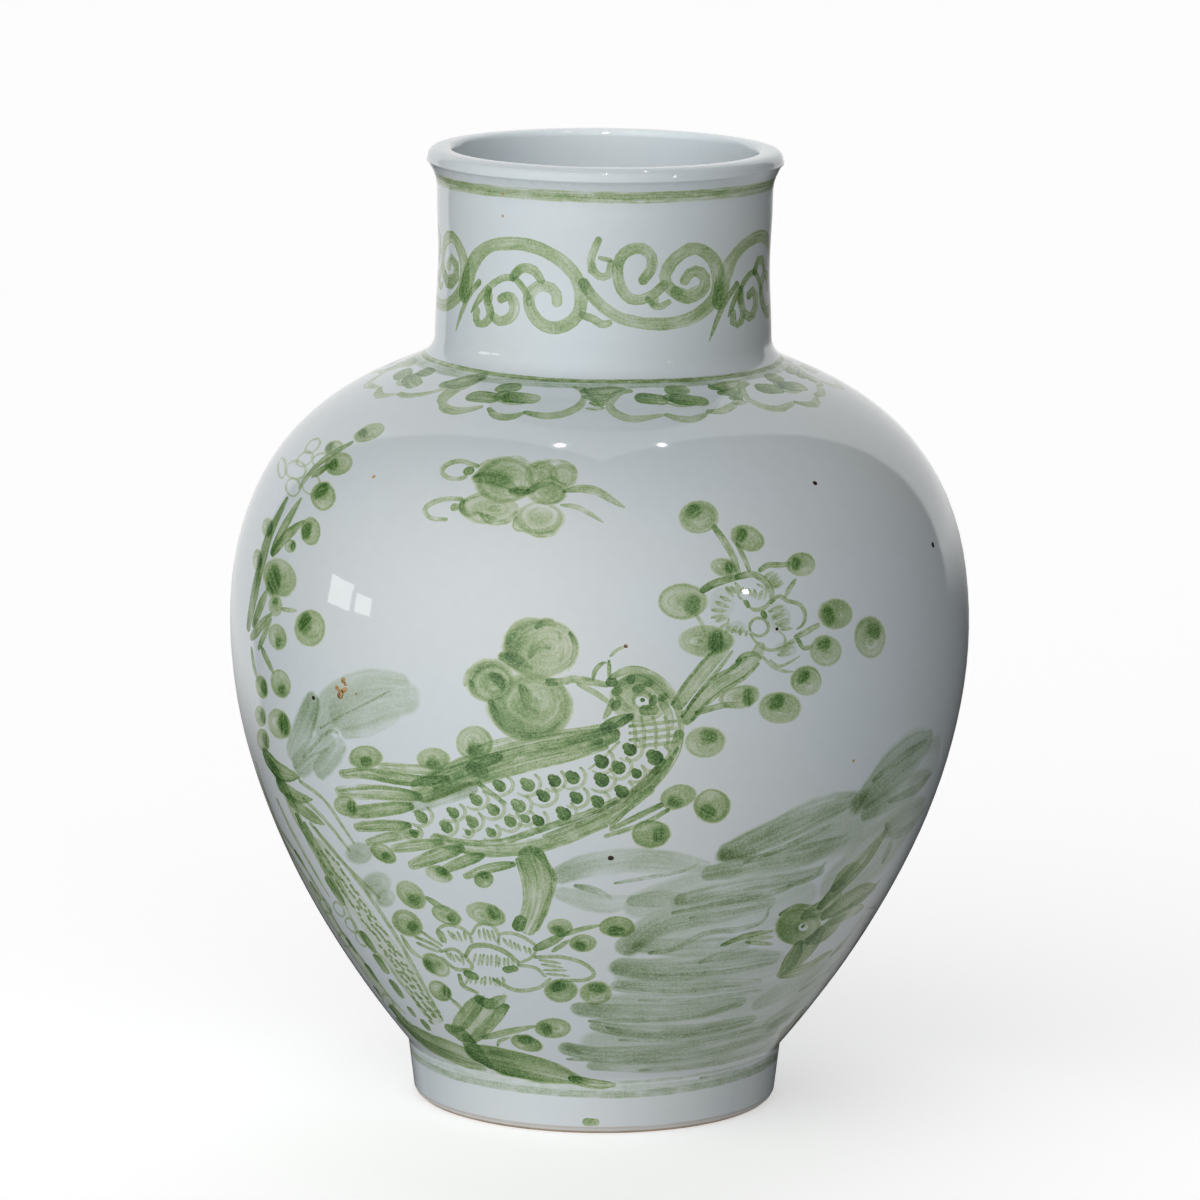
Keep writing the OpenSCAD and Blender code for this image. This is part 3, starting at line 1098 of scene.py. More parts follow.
def bird_head(brush):
    """Head, eye and checked throat."""
    brush.swirl(*HEAD_GROUND, dry=0.9, hole=0.25)
    brush.lines(HEAD_STROKES, dry=0.8)
    for x, y, length, width, tilt in HEAD_SPOTS:
        brush.dab(x, y, 1.2 * length, 1.2 * width, tilt, ink=0.85, dry=0.7)
    brush.loop(*EYE, 9, 8.5, 0, 4, 0.7)
    brush.dab(*EYE, 5, 4.5, ink=1.5)
    for y in THROAT_ROWS:
        brush.line([(x, y + below) for x, below in ROW_SLANT], 4, 0.6, EVEN, dry=0.7)
    for x in THROAT_COLUMNS:
        brush.line([(x + aside, y) for aside, y in COLUMN_SLANT], 4, 0.55, EVEN, dry=0.7)


BACK_GROUND = ((612, 735), (565, 747), (528, 755), (492, 764), (456, 776), (424, 790))
BACK_STROKES = (
    (9, 0.9, ((630, 717), (606, 731), (571, 740), (535, 747), (499, 755), (470, 764), (440, 775),
              (414, 784))),
    (6, 0.6, ((612, 724), (580, 730), (535, 736), (496, 742), (468, 752))),
    (8, 0.75, ((600, 741), (565, 749), (528, 757), (495, 766), (466, 777), (436, 790))),
    (6, 0.5, ((606, 747), (575, 757), (540, 766), (505, 775), (478, 784))),
    (9, 0.8, ((500, 757), (478, 766), (458, 775), (436, 786))),
    (5, 0.95, ((479, 783), (492, 793.5), (505, 803))),
    (3, 0.5, ((619, 742), (604, 757), (589, 769))),
)
BREAST_STROKES = (
    (13, 0.55, ((679, 735), (674, 753), (660, 774), (633, 801), (606, 819), (571, 836), (535, 847),
                (499, 850.5), (463, 847), (436, 840))),
    (7, 0.85, ((663, 761), (642, 785), (615, 801), (588, 813), (562, 822), (535, 831), (499, 842),
               (463, 842), (436, 836))),
    (5, 0.8, ((677, 749), (660, 778), (633, 804), (611, 826))),
    (6, 0.6, ((671, 758), (650, 784), (620, 806), (585, 822), (545, 836))),
    (10, 0.35, ((650, 790), (610, 817), (560, 838), (500, 848))),
    (4, 0.6, ((606, 826), (560, 843), (500, 855), (455, 851))),
)
BODY_WASHES = (
    (11, 0.4, ((657, 770), (624, 801), (588, 819), (550, 836))),
    (17, 0.42, ((472, 788), (437, 799), (415, 807))),
)
SCALES = (
    (629, 749, 16, 14), (654, 757, 20, 17), (601, 761, 15, 15), (618, 767, 16, 14), (636, 773, 11, 11),
    (601, 779, 17, 15), (621, 791, 15, 14), (572, 777, 16, 14), (554, 780, 14, 13), (576, 797, 15, 13),
    (597, 801, 15, 13), (527, 784, 16, 14), (543, 795, 17, 13), (563, 813, 16, 15), (518, 805, 16, 14),
    (538, 820, 12, 12), (510, 821, 13, 12), (493, 809, 14, 12), (476, 799, 15, 12), (472, 821, 14, 12),
    (453, 812, 15, 11), (491, 832, 11, 10), (446, 826, 14, 12), (421, 816, 14, 12), (499, 785, 17, 12),
    (525, 818, 12, 9), (414, 833, 10, 8), (468, 832, 7, 6),
)
PALE_SCALES = 530  # scales left of this are paler
BACK_SPOT = (478, 770, 24, 15, -20, 0.7)


def bird_body(brush):
    """Back, breast and the scales between them."""
    brush.lines(BODY_WASHES, EVEN, dry=0.9, cool=True)
    brush.line(BACK_GROUND, 32, 0.76, (0.5, 0.9), dry=1.0)
    brush.lines(BACK_STROKES, EVEN, dry=0.9)
    brush.lines(BREAST_STROKES, EVEN, dry=0.9)
    brush.dab(*BACK_SPOT, dry=0.7)
    for x, y, length, width in SCALES:
        drop = ((x + 0.08 * length, y + 0.08 * width), (x - 0.14 * length, y - 0.16 * width))
        brush.line(drop, 0.92 * width, 0.8 if x < PALE_SCALES else 1.2, (1.0, 0.7), dry=0.8)
        brush.loop(x, y, 0.85 * length, 0.85 * width, 0, 4, 0.42, turns=0.5, start=50, dry=0.7)


TAIL_FEATHERS = (
    (10, 0.95, ((447, 778), (427, 781), (396, 778), (366, 773), (343, 774))),
    (8, 0.55, ((442, 770), (415, 769), (381, 766))),
    (12, 0.75, ((419, 796.5), (400, 794), (373, 792), (340, 792))),
    (12, 0.7, ((411, 806), (381, 810), (351, 813))),
    (9.5, 0.8, ((409, 825), (381, 825.5), (358, 827))),
    (8.5, 0.65, ((418, 832.5), (389, 837), (369, 842.5))),
    (9.5, 0.65, ((441, 842.5), (419, 845), (395, 848.5))),
    (12.5, 0.85, ((461, 848), (435, 856), (413, 865))),
    (10, 0.8, ((482, 855), (465, 861), (446, 869))),
    (8.5, 0.75, ((513, 864), (488, 868.5), (467, 876))),
)
TAIL_KNOBS = (
    (366, 757, 17, 12, 0, 280), (434, 759, 18, 12, 0, 270), (475, 743, 19, 18, 0, 280),
    (347, 806, 13, 10, -25, 0), (384, 853, 14, 8.5, -35, 300), (439, 874, 15, 8, -20, 60),
    (484, 879, 10, 9, 0, 90),
)
LEG_STROKES = (
    (27, 0.7, ((532, 858), (539, 880), (537, 905), (528, 929))),
    (6, 0.8, ((537, 853), (549, 867), (554, 882), (547, 905), (537, 930))),
    (5, 0.7, ((518, 860), (524, 882), (525, 904), (518, 923))),
)
CLAW = (520, 923, 20, 14, 70, 0.95)


def bird_tail(brush):
    """Fanned wing and tail feathers, knobbed ends and a leg."""
    for width, ink, points in TAIL_FEATHERS:
        brush.feather(points, 1.2 * width, ink)
    brush.berries(TAIL_KNOBS, ink=0.54)
    brush.lines(LEG_STROKES, (1.0, 0.6), dry=0.9)
    brush.dab(*CLAW, dry=0.5)


BRANCH_STEMS = (
    (9, 1.05, ((249, 626), (255, 592), (263, 558), (271, 532), (287, 500))),
    (6, 0.9, ((254, 624), (261, 606), (268, 590))),
    (7, 0.8, ((273, 551), (281, 534), (290, 518), (301, 500))),
    (8, 0.9, ((274, 552), (284, 539), (294, 530), (304, 522))),
    (6, 0.8, ((252, 637), (262, 625), (272, 614))),
    (4, 0.7, ((259, 648), (266, 632), (272, 619))),
    (5, 0.5, ((282, 609), (289, 610), (297, 610.5))),
    (4, 0.75, ((262, 648), (268, 661), (274, 673))),
    (4, 0.9, ((252, 649), (254, 665), (258, 680))),
    (5, 0.8, ((352, 443), (328, 457), (313, 471), (301, 487))),
    (6, 0.8, ((329, 466), (321, 471), (314, 476))),
)
BRANCH_BERRIES = (
    (370, 432.5, 17, 8, 24, 200), (335, 447.5, 10, 7, 20, 180), (340, 463.5, 14, 11, 22, 200),
    (324, 496, 13, 15, 0, 120), (311, 531, 10, 15, 0, 180), (291, 546, 6, 7, 0, 0),
    (280, 578, 17, 21, 30, 200), (276, 606, 7, 11, 0, 100), (310, 628, 16, 19, 0, 140),
    (278, 637, 9, 14, 10, 300), (262, 687, 6, 12, 10, 0), (281, 684, 10, 15, 15, 290),
    (280, 724, 11, 16, 20, 0), (261, 716, 5.5, 11, 10, 0), (264, 740, 6, 12, 10, 0),
    (268, 528, 6, 11, 0, 0), (258, 560, 5, 11, 0, 0),
)
BRANCH_PETALS = (
    (314, 446, 9, 5, 45), (297, 470, 10, 9, 0), (294, 487, 7, 9, 0), (312, 484, 9, 10, 0),
    (283, 468, 4, 10, 0), (306, 459, 9, 6, 40), (321, 459, 8, 5, 30),
)
PALE_LEAVES = (
    (34, 0.3, ((322, 722), (334, 703), (352, 690), (378, 684), (400, 686))),
    (48, 0.26, ((342, 714), (362, 705), (384, 699), (405, 697))),
    (16, 0.2, ((346, 733), (372, 728), (396, 716))),
    (20, 0.42, ((313, 703), (307, 718), (300, 737), (294, 752))),
    (26, 0.38, ((300, 766), (314, 752), (329, 741))),
    (22, 0.32, ((320, 770), (332, 757), (340, 746))),
)
PALE_LEAF_LINES = (
    (3, 0.6, ((321, 728), (345, 714), (368, 703), (390, 691))),
    (3, 0.45, ((318, 699), (317, 715), (311, 738))),
    (4, 0.55, ((304, 757), (317, 743), (330, 731), (338, 733))),
    (3, 0.45, ((296, 768), (312, 756), (330, 748))),
)


def left_branch(brush):
    """The flowering branch at the left and the pale leaves below it."""
    brush.lines(BRANCH_STEMS, dry=0.6)
    brush.berries(BRANCH_BERRIES)
    for x, y, wide, high, tilt in BRANCH_PETALS:
        brush.loop(x, y, wide, high, tilt, 2, 0.42)
    brush.lines(PALE_LEAVES, EVEN, dry=0.7, cool=True)
    brush.lines(PALE_LEAF_LINES, EVEN, dry=0.7, cool=True)


TRAIL_GROUND = (
    (18, 0.15, ((322, 852), (352, 896), (378, 934), (402, 968), (430, 1012))),
    (16, 0.22, ((262, 786), (286, 845), (318, 900), (352, 950), (392, 1004))),
)
TRAIL_BANDS = (
    (10, 0.7, ((272, 764), (286, 790), (298, 818), (312, 842))),
    (6, 0.75, ((298, 816), (314, 848), (330, 876), (344, 901))),
    (5, 0.7, ((306, 824), (324, 856), (340, 882), (353, 905))),
    (3.5, 0.6, ((316, 828), (344, 862), (371, 897), (397, 936), (420, 977), (443, 1020))),
    (3, 0.5, ((318, 850), (344, 899), (361, 936), (385, 960), (403, 985), (434, 1024))),
    (4, 0.6, ((257, 764), (275, 818), (297, 854), (320, 891), (340, 928), (363, 960), (385, 991),
              (405, 1013))),
    (3, 0.55, ((252, 769), (267, 807), (285, 842), (308, 881), (326, 913), (344, 942), (372, 984))),
    (4, 0.55, ((278, 800), (292, 830), (312, 866), (330, 896))),
)
TRAIL_WEDGES = (
    (11, 0.95, ((268, 758), (280, 771), (300, 777))),
    (9, 0.85, ((281, 785), (296, 796), (313, 799))),
    (8, 0.75, ((291, 800), (307, 812), (325, 824))),
)
TRAIL_LINES = (
    (3, 0.55, ((301, 781), (326, 801), (354, 842))),
    (3, 0.55, ((305, 799), (328, 822), (350, 850))),
    (3, 0.45, ((312, 824), (336, 854), (363, 881), (380, 897))),
)
TRAIL_DOTS = ((323, 852), (352, 893), (378, 930), (400, 964), (420, 996), (436, 1018))
TRAIL_LEAVES = (
    (336, 891, 28, 7), (369, 942, 20, 7), (382, 964, 18, 7), (397, 989, 18, 6), (372, 973, 18, 6),
    (352, 946, 16, 5), (378, 992, 12, 4), (412, 1012, 10, 4), (426, 1025, 10, 5), (316, 890, 16, 5),
    (300, 858, 16, 5),
)
TRAIL_PETALS = ((340, 909), (352, 925), (362, 939), (326, 906), (345, 940), (388, 1001))
PALE_PATCHES = ((360, 853, 15, 12), (377, 884, 16, 14), (386, 898, 11, 10))
DOT_SPACING = 4
TRAIL_TILT = -55
TRAIL_LEAF_TILT = -57


def trailing_feathers(brush):
    """Long dotted feathers that trail down the left side to the foot."""
    brush.lines(TRAIL_GROUND, EVEN, dry=1.0)
    brush.lines(TRAIL_BANDS, dry=0.9)
    brush.lines(TRAIL_WEDGES, POINTED, dry=0.6)
    brush.lines(TRAIL_LINES, EVEN, dry=0.6)
    for x, y, wide, high in PALE_PATCHES:
        brush.swirl(x, y, wide, high, 0, 0.33, dry=0.7, cool=True)
    jitter = brush.painting.chance.uniform
    for x, y in smooth_curve(TRAIL_DOTS, samples=8):
        for side in (-DOT_SPACING, 0, DOT_SPACING):
            spot = (x + side + jitter(-1.2, 1.2), y - 0.6 * side + jitter(-2, 2))
            brush.dab(*spot, 3.4, 2.4, TRAIL_TILT, 0.6)
    for leaf in TRAIL_LEAVES:
        brush.dab(*leaf, TRAIL_LEAF_TILT, 0.7, dry=0.8)
    for x, y in TRAIL_PETALS:
        brush.loop(x, y, 8, 4, TRAIL_TILT, 2, 0.5)


SPRAY_BERRIES = (
    (412, 895, 19, 12, -40, 300), (408, 923, 17, 12, -35, 320), (447, 915, 16, 9, -25, 330),
    (486, 914, 20, 11, -18, 20), (437, 965, 16, 9, -38, 200), (441, 991, 14, 9, -40, 0),
    (560, 927, 13, 8.5, 0, 250), (583, 943, 14, 9, 0, 240), (617, 927, 18, 11, 0, 270),
    (561, 991, 17, 12, 0, 120), (596, 993, 16, 12, 0, 80), (553, 1028, 19, 10.5, 0, 200),
    (527, 1043, 17, 8, -15, 100),
)
SPRAY_STEMS = (
    (6, 0.75, ((428, 898), (440, 906), (450, 911))),
    (9, 0.9, ((536, 949), (550, 942), (564, 935))),
    (5, 0.7, ((560, 936), (578, 930), (600, 925))),
    (5, 0.75, ((553, 951), (562, 945), (569, 940))),
    (6, 0.7, ((484, 1038), (507, 1032), (535, 1026))),
    (3.5, 0.65, ((498, 1046), (500, 1041), (510, 1037))),
    (4, 0.6, ((452, 999), (462, 1009), (464, 1018))),
    (4, 0.5, ((403, 936), (412, 950), (424, 959))),
    (5, 0.6, ((439, 930), (443, 936), (446, 942))),
)
LOWER_PETALS = (
    (3.5, 0.6, ((443, 941), (438, 931), (446, 925), (460, 927), (470, 935), (472, 942))),
    (3.5, 0.55, ((472, 934), (478, 925), (490, 924), (498, 933), (499, 944))),
    (3.5, 0.6, ((498, 942), (501, 934), (516, 934), (535, 945), (533, 956), (522, 962))),
    (5, 0.8, ((466, 956), (472, 947), (486, 945), (504, 951), (518, 962))),
    (4, 0.65, ((536, 957), (562, 957), (584, 963.5), (594, 974), (584, 980), (562, 980))),
    (4, 0.75, ((460, 975), (464, 986), (477, 992))),
    (4, 0.6, ((495, 980), (516, 990), (538, 988), (550, 979))),
    (3.5, 0.65, ((441, 951), (457, 950), (473, 967), (457, 969), (443, 958))),
    (3.5, 0.6, ((519, 965), (536, 968), (545, 976))),
    (3, 0.7, ((417, 937), (429, 942), (440, 948))),
    (3, 0.7, ((419, 943), (430, 948), (438, 951))),
    (3, 0.6, ((423, 932), (433, 939), (442, 945))),
)
LOWER_PETAL_HATCH = (
    (((448, 932), (453, 940)), ((464, 932), (467, 941)), 4),
    (((479, 929), (481, 938)), ((493, 931), (496, 941)), 4),
    (((504, 939), (508, 946)), ((529, 948), (531, 955)), 6),
    (((476, 953), (474, 964)), ((512, 958), (513, 968)), 10),
    (((470, 976), (466, 984)), ((502, 978), (506, 986)), 9),
    (((447, 952), (451, 960)), ((461, 955), (465, 964)), 4),
    (((541, 961), (560, 963)), ((547, 973), (569, 975)), 4),
)
LOWER_SPOTS = ((511, 969, 15, 7, 10, 0.85), (472, 975, 13, 8, -20, 0.85))
CALYX = (
    (19, 0.75, ((480, 998), (468, 1015), (454, 1031))),
    (13, 0.8, ((506, 1006), (490, 1024), (470, 1043))),
    (12, 0.8, ((480, 1000), (492, 1004), (505, 996))),
    (14, 0.7, ((452, 1030), (462, 1034), (472, 1040))),
    (12, 0.65, ((468, 1038), (478, 1055), (489, 1066))),
    (4, 0.6, ((484, 996), (474, 1012), (462, 1030))),
    (18, 0.4, ((494, 1002), (482, 1020), (466, 1038))),
)
GROUND_LEAF = (
    (17, 0.7, ((396, 1012), (412, 1030), (436, 1045), (462, 1054), (488, 1063))),
    (10, 0.55, ((400, 1022), (425, 1044), (455, 1058), (484, 1068))),
    (25, 0.75, ((478, 1054), (502, 1061), (530, 1067), (556, 1073), (575, 1079))),
    (6, 0.8, ((492, 1052), (528, 1057), (560, 1067), (584, 1080))),
    (10, 0.95, ((572, 1078), (592, 1083), (614, 1085))),
    (4, 0.55, ((404, 1020), (426, 1042), (456, 1056))),
)


def lower_spray(brush):
    """The flower and berries beside the water, and the ground leaf under them."""
    brush.berries(SPRAY_BERRIES, ink=0.54)
    brush.lines(SPRAY_STEMS, dry=0.5)
    brush.lines(LOWER_PETALS, EVEN, dry=0.5)
    for stroke in hatched(LOWER_PETAL_HATCH, brush.painting.chance):
        brush.line(stroke, 3, 0.55, dry=0.6)
    brush.dabs(LOWER_SPOTS, dry=0.6)
    brush.lines(CALYX, dry=0.7)
    brush.lines(GROUND_LEAF, dry=0.9)


WATER_GROUND = (
    (40, 0.1, ((640, 905), (700, 888), (770, 870), (850, 836))),
    (44, 0.11, ((640, 940), (700, 930), (768, 916), (800, 900))),
    (40, 0.11, ((632, 975), (700, 974), (770, 966))),
    (40, 0.11, ((610, 1008), (690, 1012), (770, 1002), (830, 968))),
    (40, 0.11, ((600, 1044), (680, 1048), (760, 1036), (806, 1012))),
    (40, 0.12, ((800, 850), (850, 826), (900, 790), (930, 760))),
    (40, 0.12, ((840, 880), (880, 850), (912, 818))),
    (40, 0.08, ((800, 1000), (840, 958), (872, 908))),
)
WATER_WASHES = (
    (24, 0.36, ((561, 875), (590, 865), (640, 860), (704, 866))),
    (20, 0.2, ((563, 894), (604, 904), (634, 900))),
    (16, 0.34, ((634, 901), (656, 899), (680, 897))),
    (25, 0.62, ((728, 852), (768, 836), (808, 816), (852, 799))),
    (20, 0.42, ((710, 873), (755, 865), (800, 857), (844, 841))),
    (16, 0.46, ((681, 900), (739, 888), (800, 878), (820, 871))),
    (27, 0.46, ((628, 946), (656, 925), (690, 914), (768, 903))),
    (24, 0.46, ((622, 967), (656, 970), (706, 966), (772, 958))),
    (18, 0.36, ((640, 945), (690, 948), (745, 944))),
    (15, 0.4, ((618, 986), (672, 988), (756, 983))),
    (18, 0.46, ((580, 1009), (623, 1013), (689, 1011), (739, 1002))),
    (14, 0.5, ((597, 1026), (626, 1031), (689, 1032), (750, 1020))),
    (18, 0.52, ((569, 1049), (600, 1055), (656, 1054), (706, 1047), (772, 1032))),
    (12, 0.35, ((594, 1066), (660, 1066), (720, 1058), (776, 1042))),
    (27, 0.5, ((872, 792), (894, 768), (926, 744))),
    (16, 0.45, ((868, 812), (892, 798), (926, 778))),
    (14, 0.3, ((890, 828), (906, 818), (922, 804))),
    (14, 0.24, ((760, 1002), (792, 985), (820, 968))),
    (14, 0.24, ((770, 1022), (796, 1006), (826, 984))),
)
WATER_STARTS = (
    (738, 854, 42, 15, 4, 0.75), (861, 802, 19, 17, 60, 0.8), (678, 901, 17, 15, 0, 0.45),
    (621, 968, 20, 15, 0, 0.55), (781, 1020, 27, 10, 30, 0.75), (634, 948, 22, 14, 40, 0.35),
    (584, 1011, 16, 12, 0, 0.3), (574, 1050, 18, 11, -20, 0.5),
)
WATER_LINES = (
    (3, 0.6, ((615, 883), (656, 876), (686, 870), (700, 862))),
    (5, 0.65, ((576, 886), (594, 890), (611, 898))),
    (4, 0.85, ((673, 913), (722, 903), (772, 893), (812, 876))),
    (4, 0.75, ((650, 953), (676, 948), (706, 933), (740, 929), (762, 921), (770, 907))),
    (3, 0.6, ((690, 918), (730, 912), (768, 905))),
    (3.5, 0.75, ((590, 1021), (640, 1020), (690, 1017), (736, 1004))),
    (4, 0.7, ((607, 1027), (632, 1034), (690, 1035), (720, 1029))),
    (3, 0.7, ((568, 1059), (610, 1060), (660, 1058))),
    (3, 0.6, ((616, 987), (672, 991), (740, 985))),
    (3, 0.55, ((656, 975), (720, 972), (776, 962))),
    (3, 0.5, ((640, 1000), (700, 999), (760, 990))),
    (3, 0.5, ((620, 1040), (700, 1040), (770, 1024))),
    (3, 0.5, ((640, 1070), (710, 1064), (780, 1046))),
    (3, 0.5, ((700, 1078), (750, 1068), (786, 1052))),
    (4, 0.7, ((874, 780), (896, 762), (926, 741))),
    (4, 0.7, ((890, 801), (914, 790), (931, 774))),
    (4, 0.65, ((886, 824), (894, 835), (913, 824), (924, 808))),
    (5, 0.7, ((884, 860), (888, 850), (891, 840))),
    (4, 0.7, ((745, 862), (790, 845), (834, 824))),
    (3, 0.55, ((752, 853), (800, 832), (846, 808))),
    (4, 0.6, ((765, 855), (804, 847), (842, 838))),
    (3, 0.55, ((788, 886), (812, 878), (826, 862))),
    (5, 0.6, ((700, 962), (724, 954), (756, 950))),
    (3, 0.5, ((800, 990), (826, 972), (852, 944))),
    (4, 0.55, ((832, 954), (848, 938), (862, 918))),
)


def water(brush):
    """Streaked washes of water, each begun with a full brush and edged with thin lines."""
    brush.lines(WATER_GROUND, (0.7, 0.6), dry=0.9, cool=True, fuller=1.7)
    brush.lines(WATER_WASHES, (0.75, 0.5), dry=1.0, cool=True, wider=1.08, fuller=0.95)
    brush.lines(WATER_LINES, dry=1.0, cool=True, wider=1.5, fuller=0.75)
    for x, y, length, width, tilt, ink in WATER_STARTS:
        brush.dab(x, y, 1.1 * length, 1.15 * width, tilt, 0.7 * ink, dry=SOFT, cool=True)


SMALL_BIRD_STROKES = (
    (14, 0.8, ((806, 915), (824, 908), (838, 897))),
    (13, 0.7, ((811, 939), (828, 930), (843, 918))),
    (11, 0.9, ((822, 905), (843, 883), (863, 862), (885, 832))),
    (13, 0.8, ((836, 886), (846, 874), (858, 868))),
    (13, 0.85, ((826, 914), (851, 899), (873, 889))),
    (9, 0.65, ((829, 922), (845, 914), (862, 908))),
    (13, 0.95, ((797, 946), (790, 962), (780, 973))),
    (15, 0.85, ((818, 934), (804, 952), (788, 969))),
    (8, 0.75, ((782, 975), (806, 968), (830, 952))),
    (5, 0.95, ((722, 945), (745, 936), (772, 931))),
    (4, 0.75, ((746, 942), (758, 943), (772, 944))),
    (4, 0.6, ((748, 938), (760, 938), (772, 937))),
    (6, 0.95, ((781, 914), (797, 907), (814, 908), (824, 902))),
    (5, 0.8, ((850, 905), (866, 896), (880, 880))),
)
SMALL_BIRD_GROUND = (797, 927, 24, 19, 10, 0.6, 180)
SMALL_BIRD_EYE = (803, 926)


def small_bird(brush):
    """A small bird that comes down to the water, beak open."""
    brush.swirl(*SMALL_BIRD_GROUND, dry=1.0, hole=0.2)
    brush.lines(SMALL_BIRD_STROKES, dry=1.0, fuller=0.75)
    brush.dab(*SMALL_BIRD_EYE, 4, 3.5, ink=1.2)


SPECKS = (
    (374.5, 476.5, 3, 0.5), (815, 483, 4, 0.9), (933, 545, 5, 1.0), (611, 858, 5, 1.2),
    (777, 629, 3.5, 1.0), (503, 194, 3, 0.5), (503, 216, 3, 0.45), (314, 698, 4.5, 1.6),
    (357, 694, 2.5, 0.7), (626, 646, 4, 0.8), (854, 761, 3, 0.5),
)
STAINS = (
    (341, 694, 9, 6, 70), (345, 690, 8, 5, 30), (338, 688, 6, 5, 0), (344, 680, 6, 5, 60),
    (346, 684, 4, 4, 0),
)
HIDDEN_SIDES = (120, 165, 210, 250)
SPECKS_PER_SIDE = 4
SPECK_COLUMNS = (480, 720)  # pixels that specks of the hidden sides are scattered between
SPECK_ROWS = (230, 1000)


def specks(painting):
    """Iron specks and a small stain. Their ink is below zero, which the glaze reads as iron."""
    front = Brush(painting)
    for x, y, size, ink in SPECKS:
        front.dab(x, y, size, size, ink=-ink)
    for x, y, length, width, tilt in STAINS:
        front.dab(x, y, length, width, tilt, ink=-0.5, dry=0.9)
    for turn in HIDDEN_SIDES:
        side = Brush(painting, turn)
        for _ in range(SPECKS_PER_SIDE):
            x = painting.chance.uniform(*SPECK_COLUMNS)
            y = painting.chance.uniform(*SPECK_ROWS)
            side.dab(x, y, 3.5, 3.5, ink=-1.2)


FOOT_CORNER = (604, 1093)
FOOT_RINGS = (
    (0.0, 0.004, 0.5, 0.8, True), (0.0062, 0.002, 0.28, 0.9, True), (0.0024, 0.0034, 0.2, 0.9, True),
)
FOOT_SPOT = (591, 1122, 17, 8, 0, 0.6)


def foot_bands(painting):
    """Rings above the foot, and a spot on it."""
    front = Brush(painting)
    painting.rings(front.land([FOOT_CORNER])[1][0], FOOT_RINGS)
    front.dab(*FOOT_SPOT, dry=0.7)


def paint_jar(wall, viewpoint):
    """The whole painting: the side in the photograph, and the same kind of scene round the back."""
    painting = Painting(wall, viewpoint)
    neck_bands(painting)
    shoulder_band(painting)
    foot_bands(painting)
    specks(painting)
    bird = (held_leaf, bird_head, bird_body, bird_tail)
    for turn, motifs in (
        (0, (butterfly, *bird, bough, left_branch, trailing_feathers, lower_spray, water, small_bird)),
        (92, (bough,)),
        (128, (lower_spray, butterfly)),
        (150, (water,)),
        (182, (butterfly, *bird)),
        (223, (bough,)),
        (247, (lower_spray,)),
    ):
        for motif in motifs:
            motif(Brush(painting, turn))
    return painting


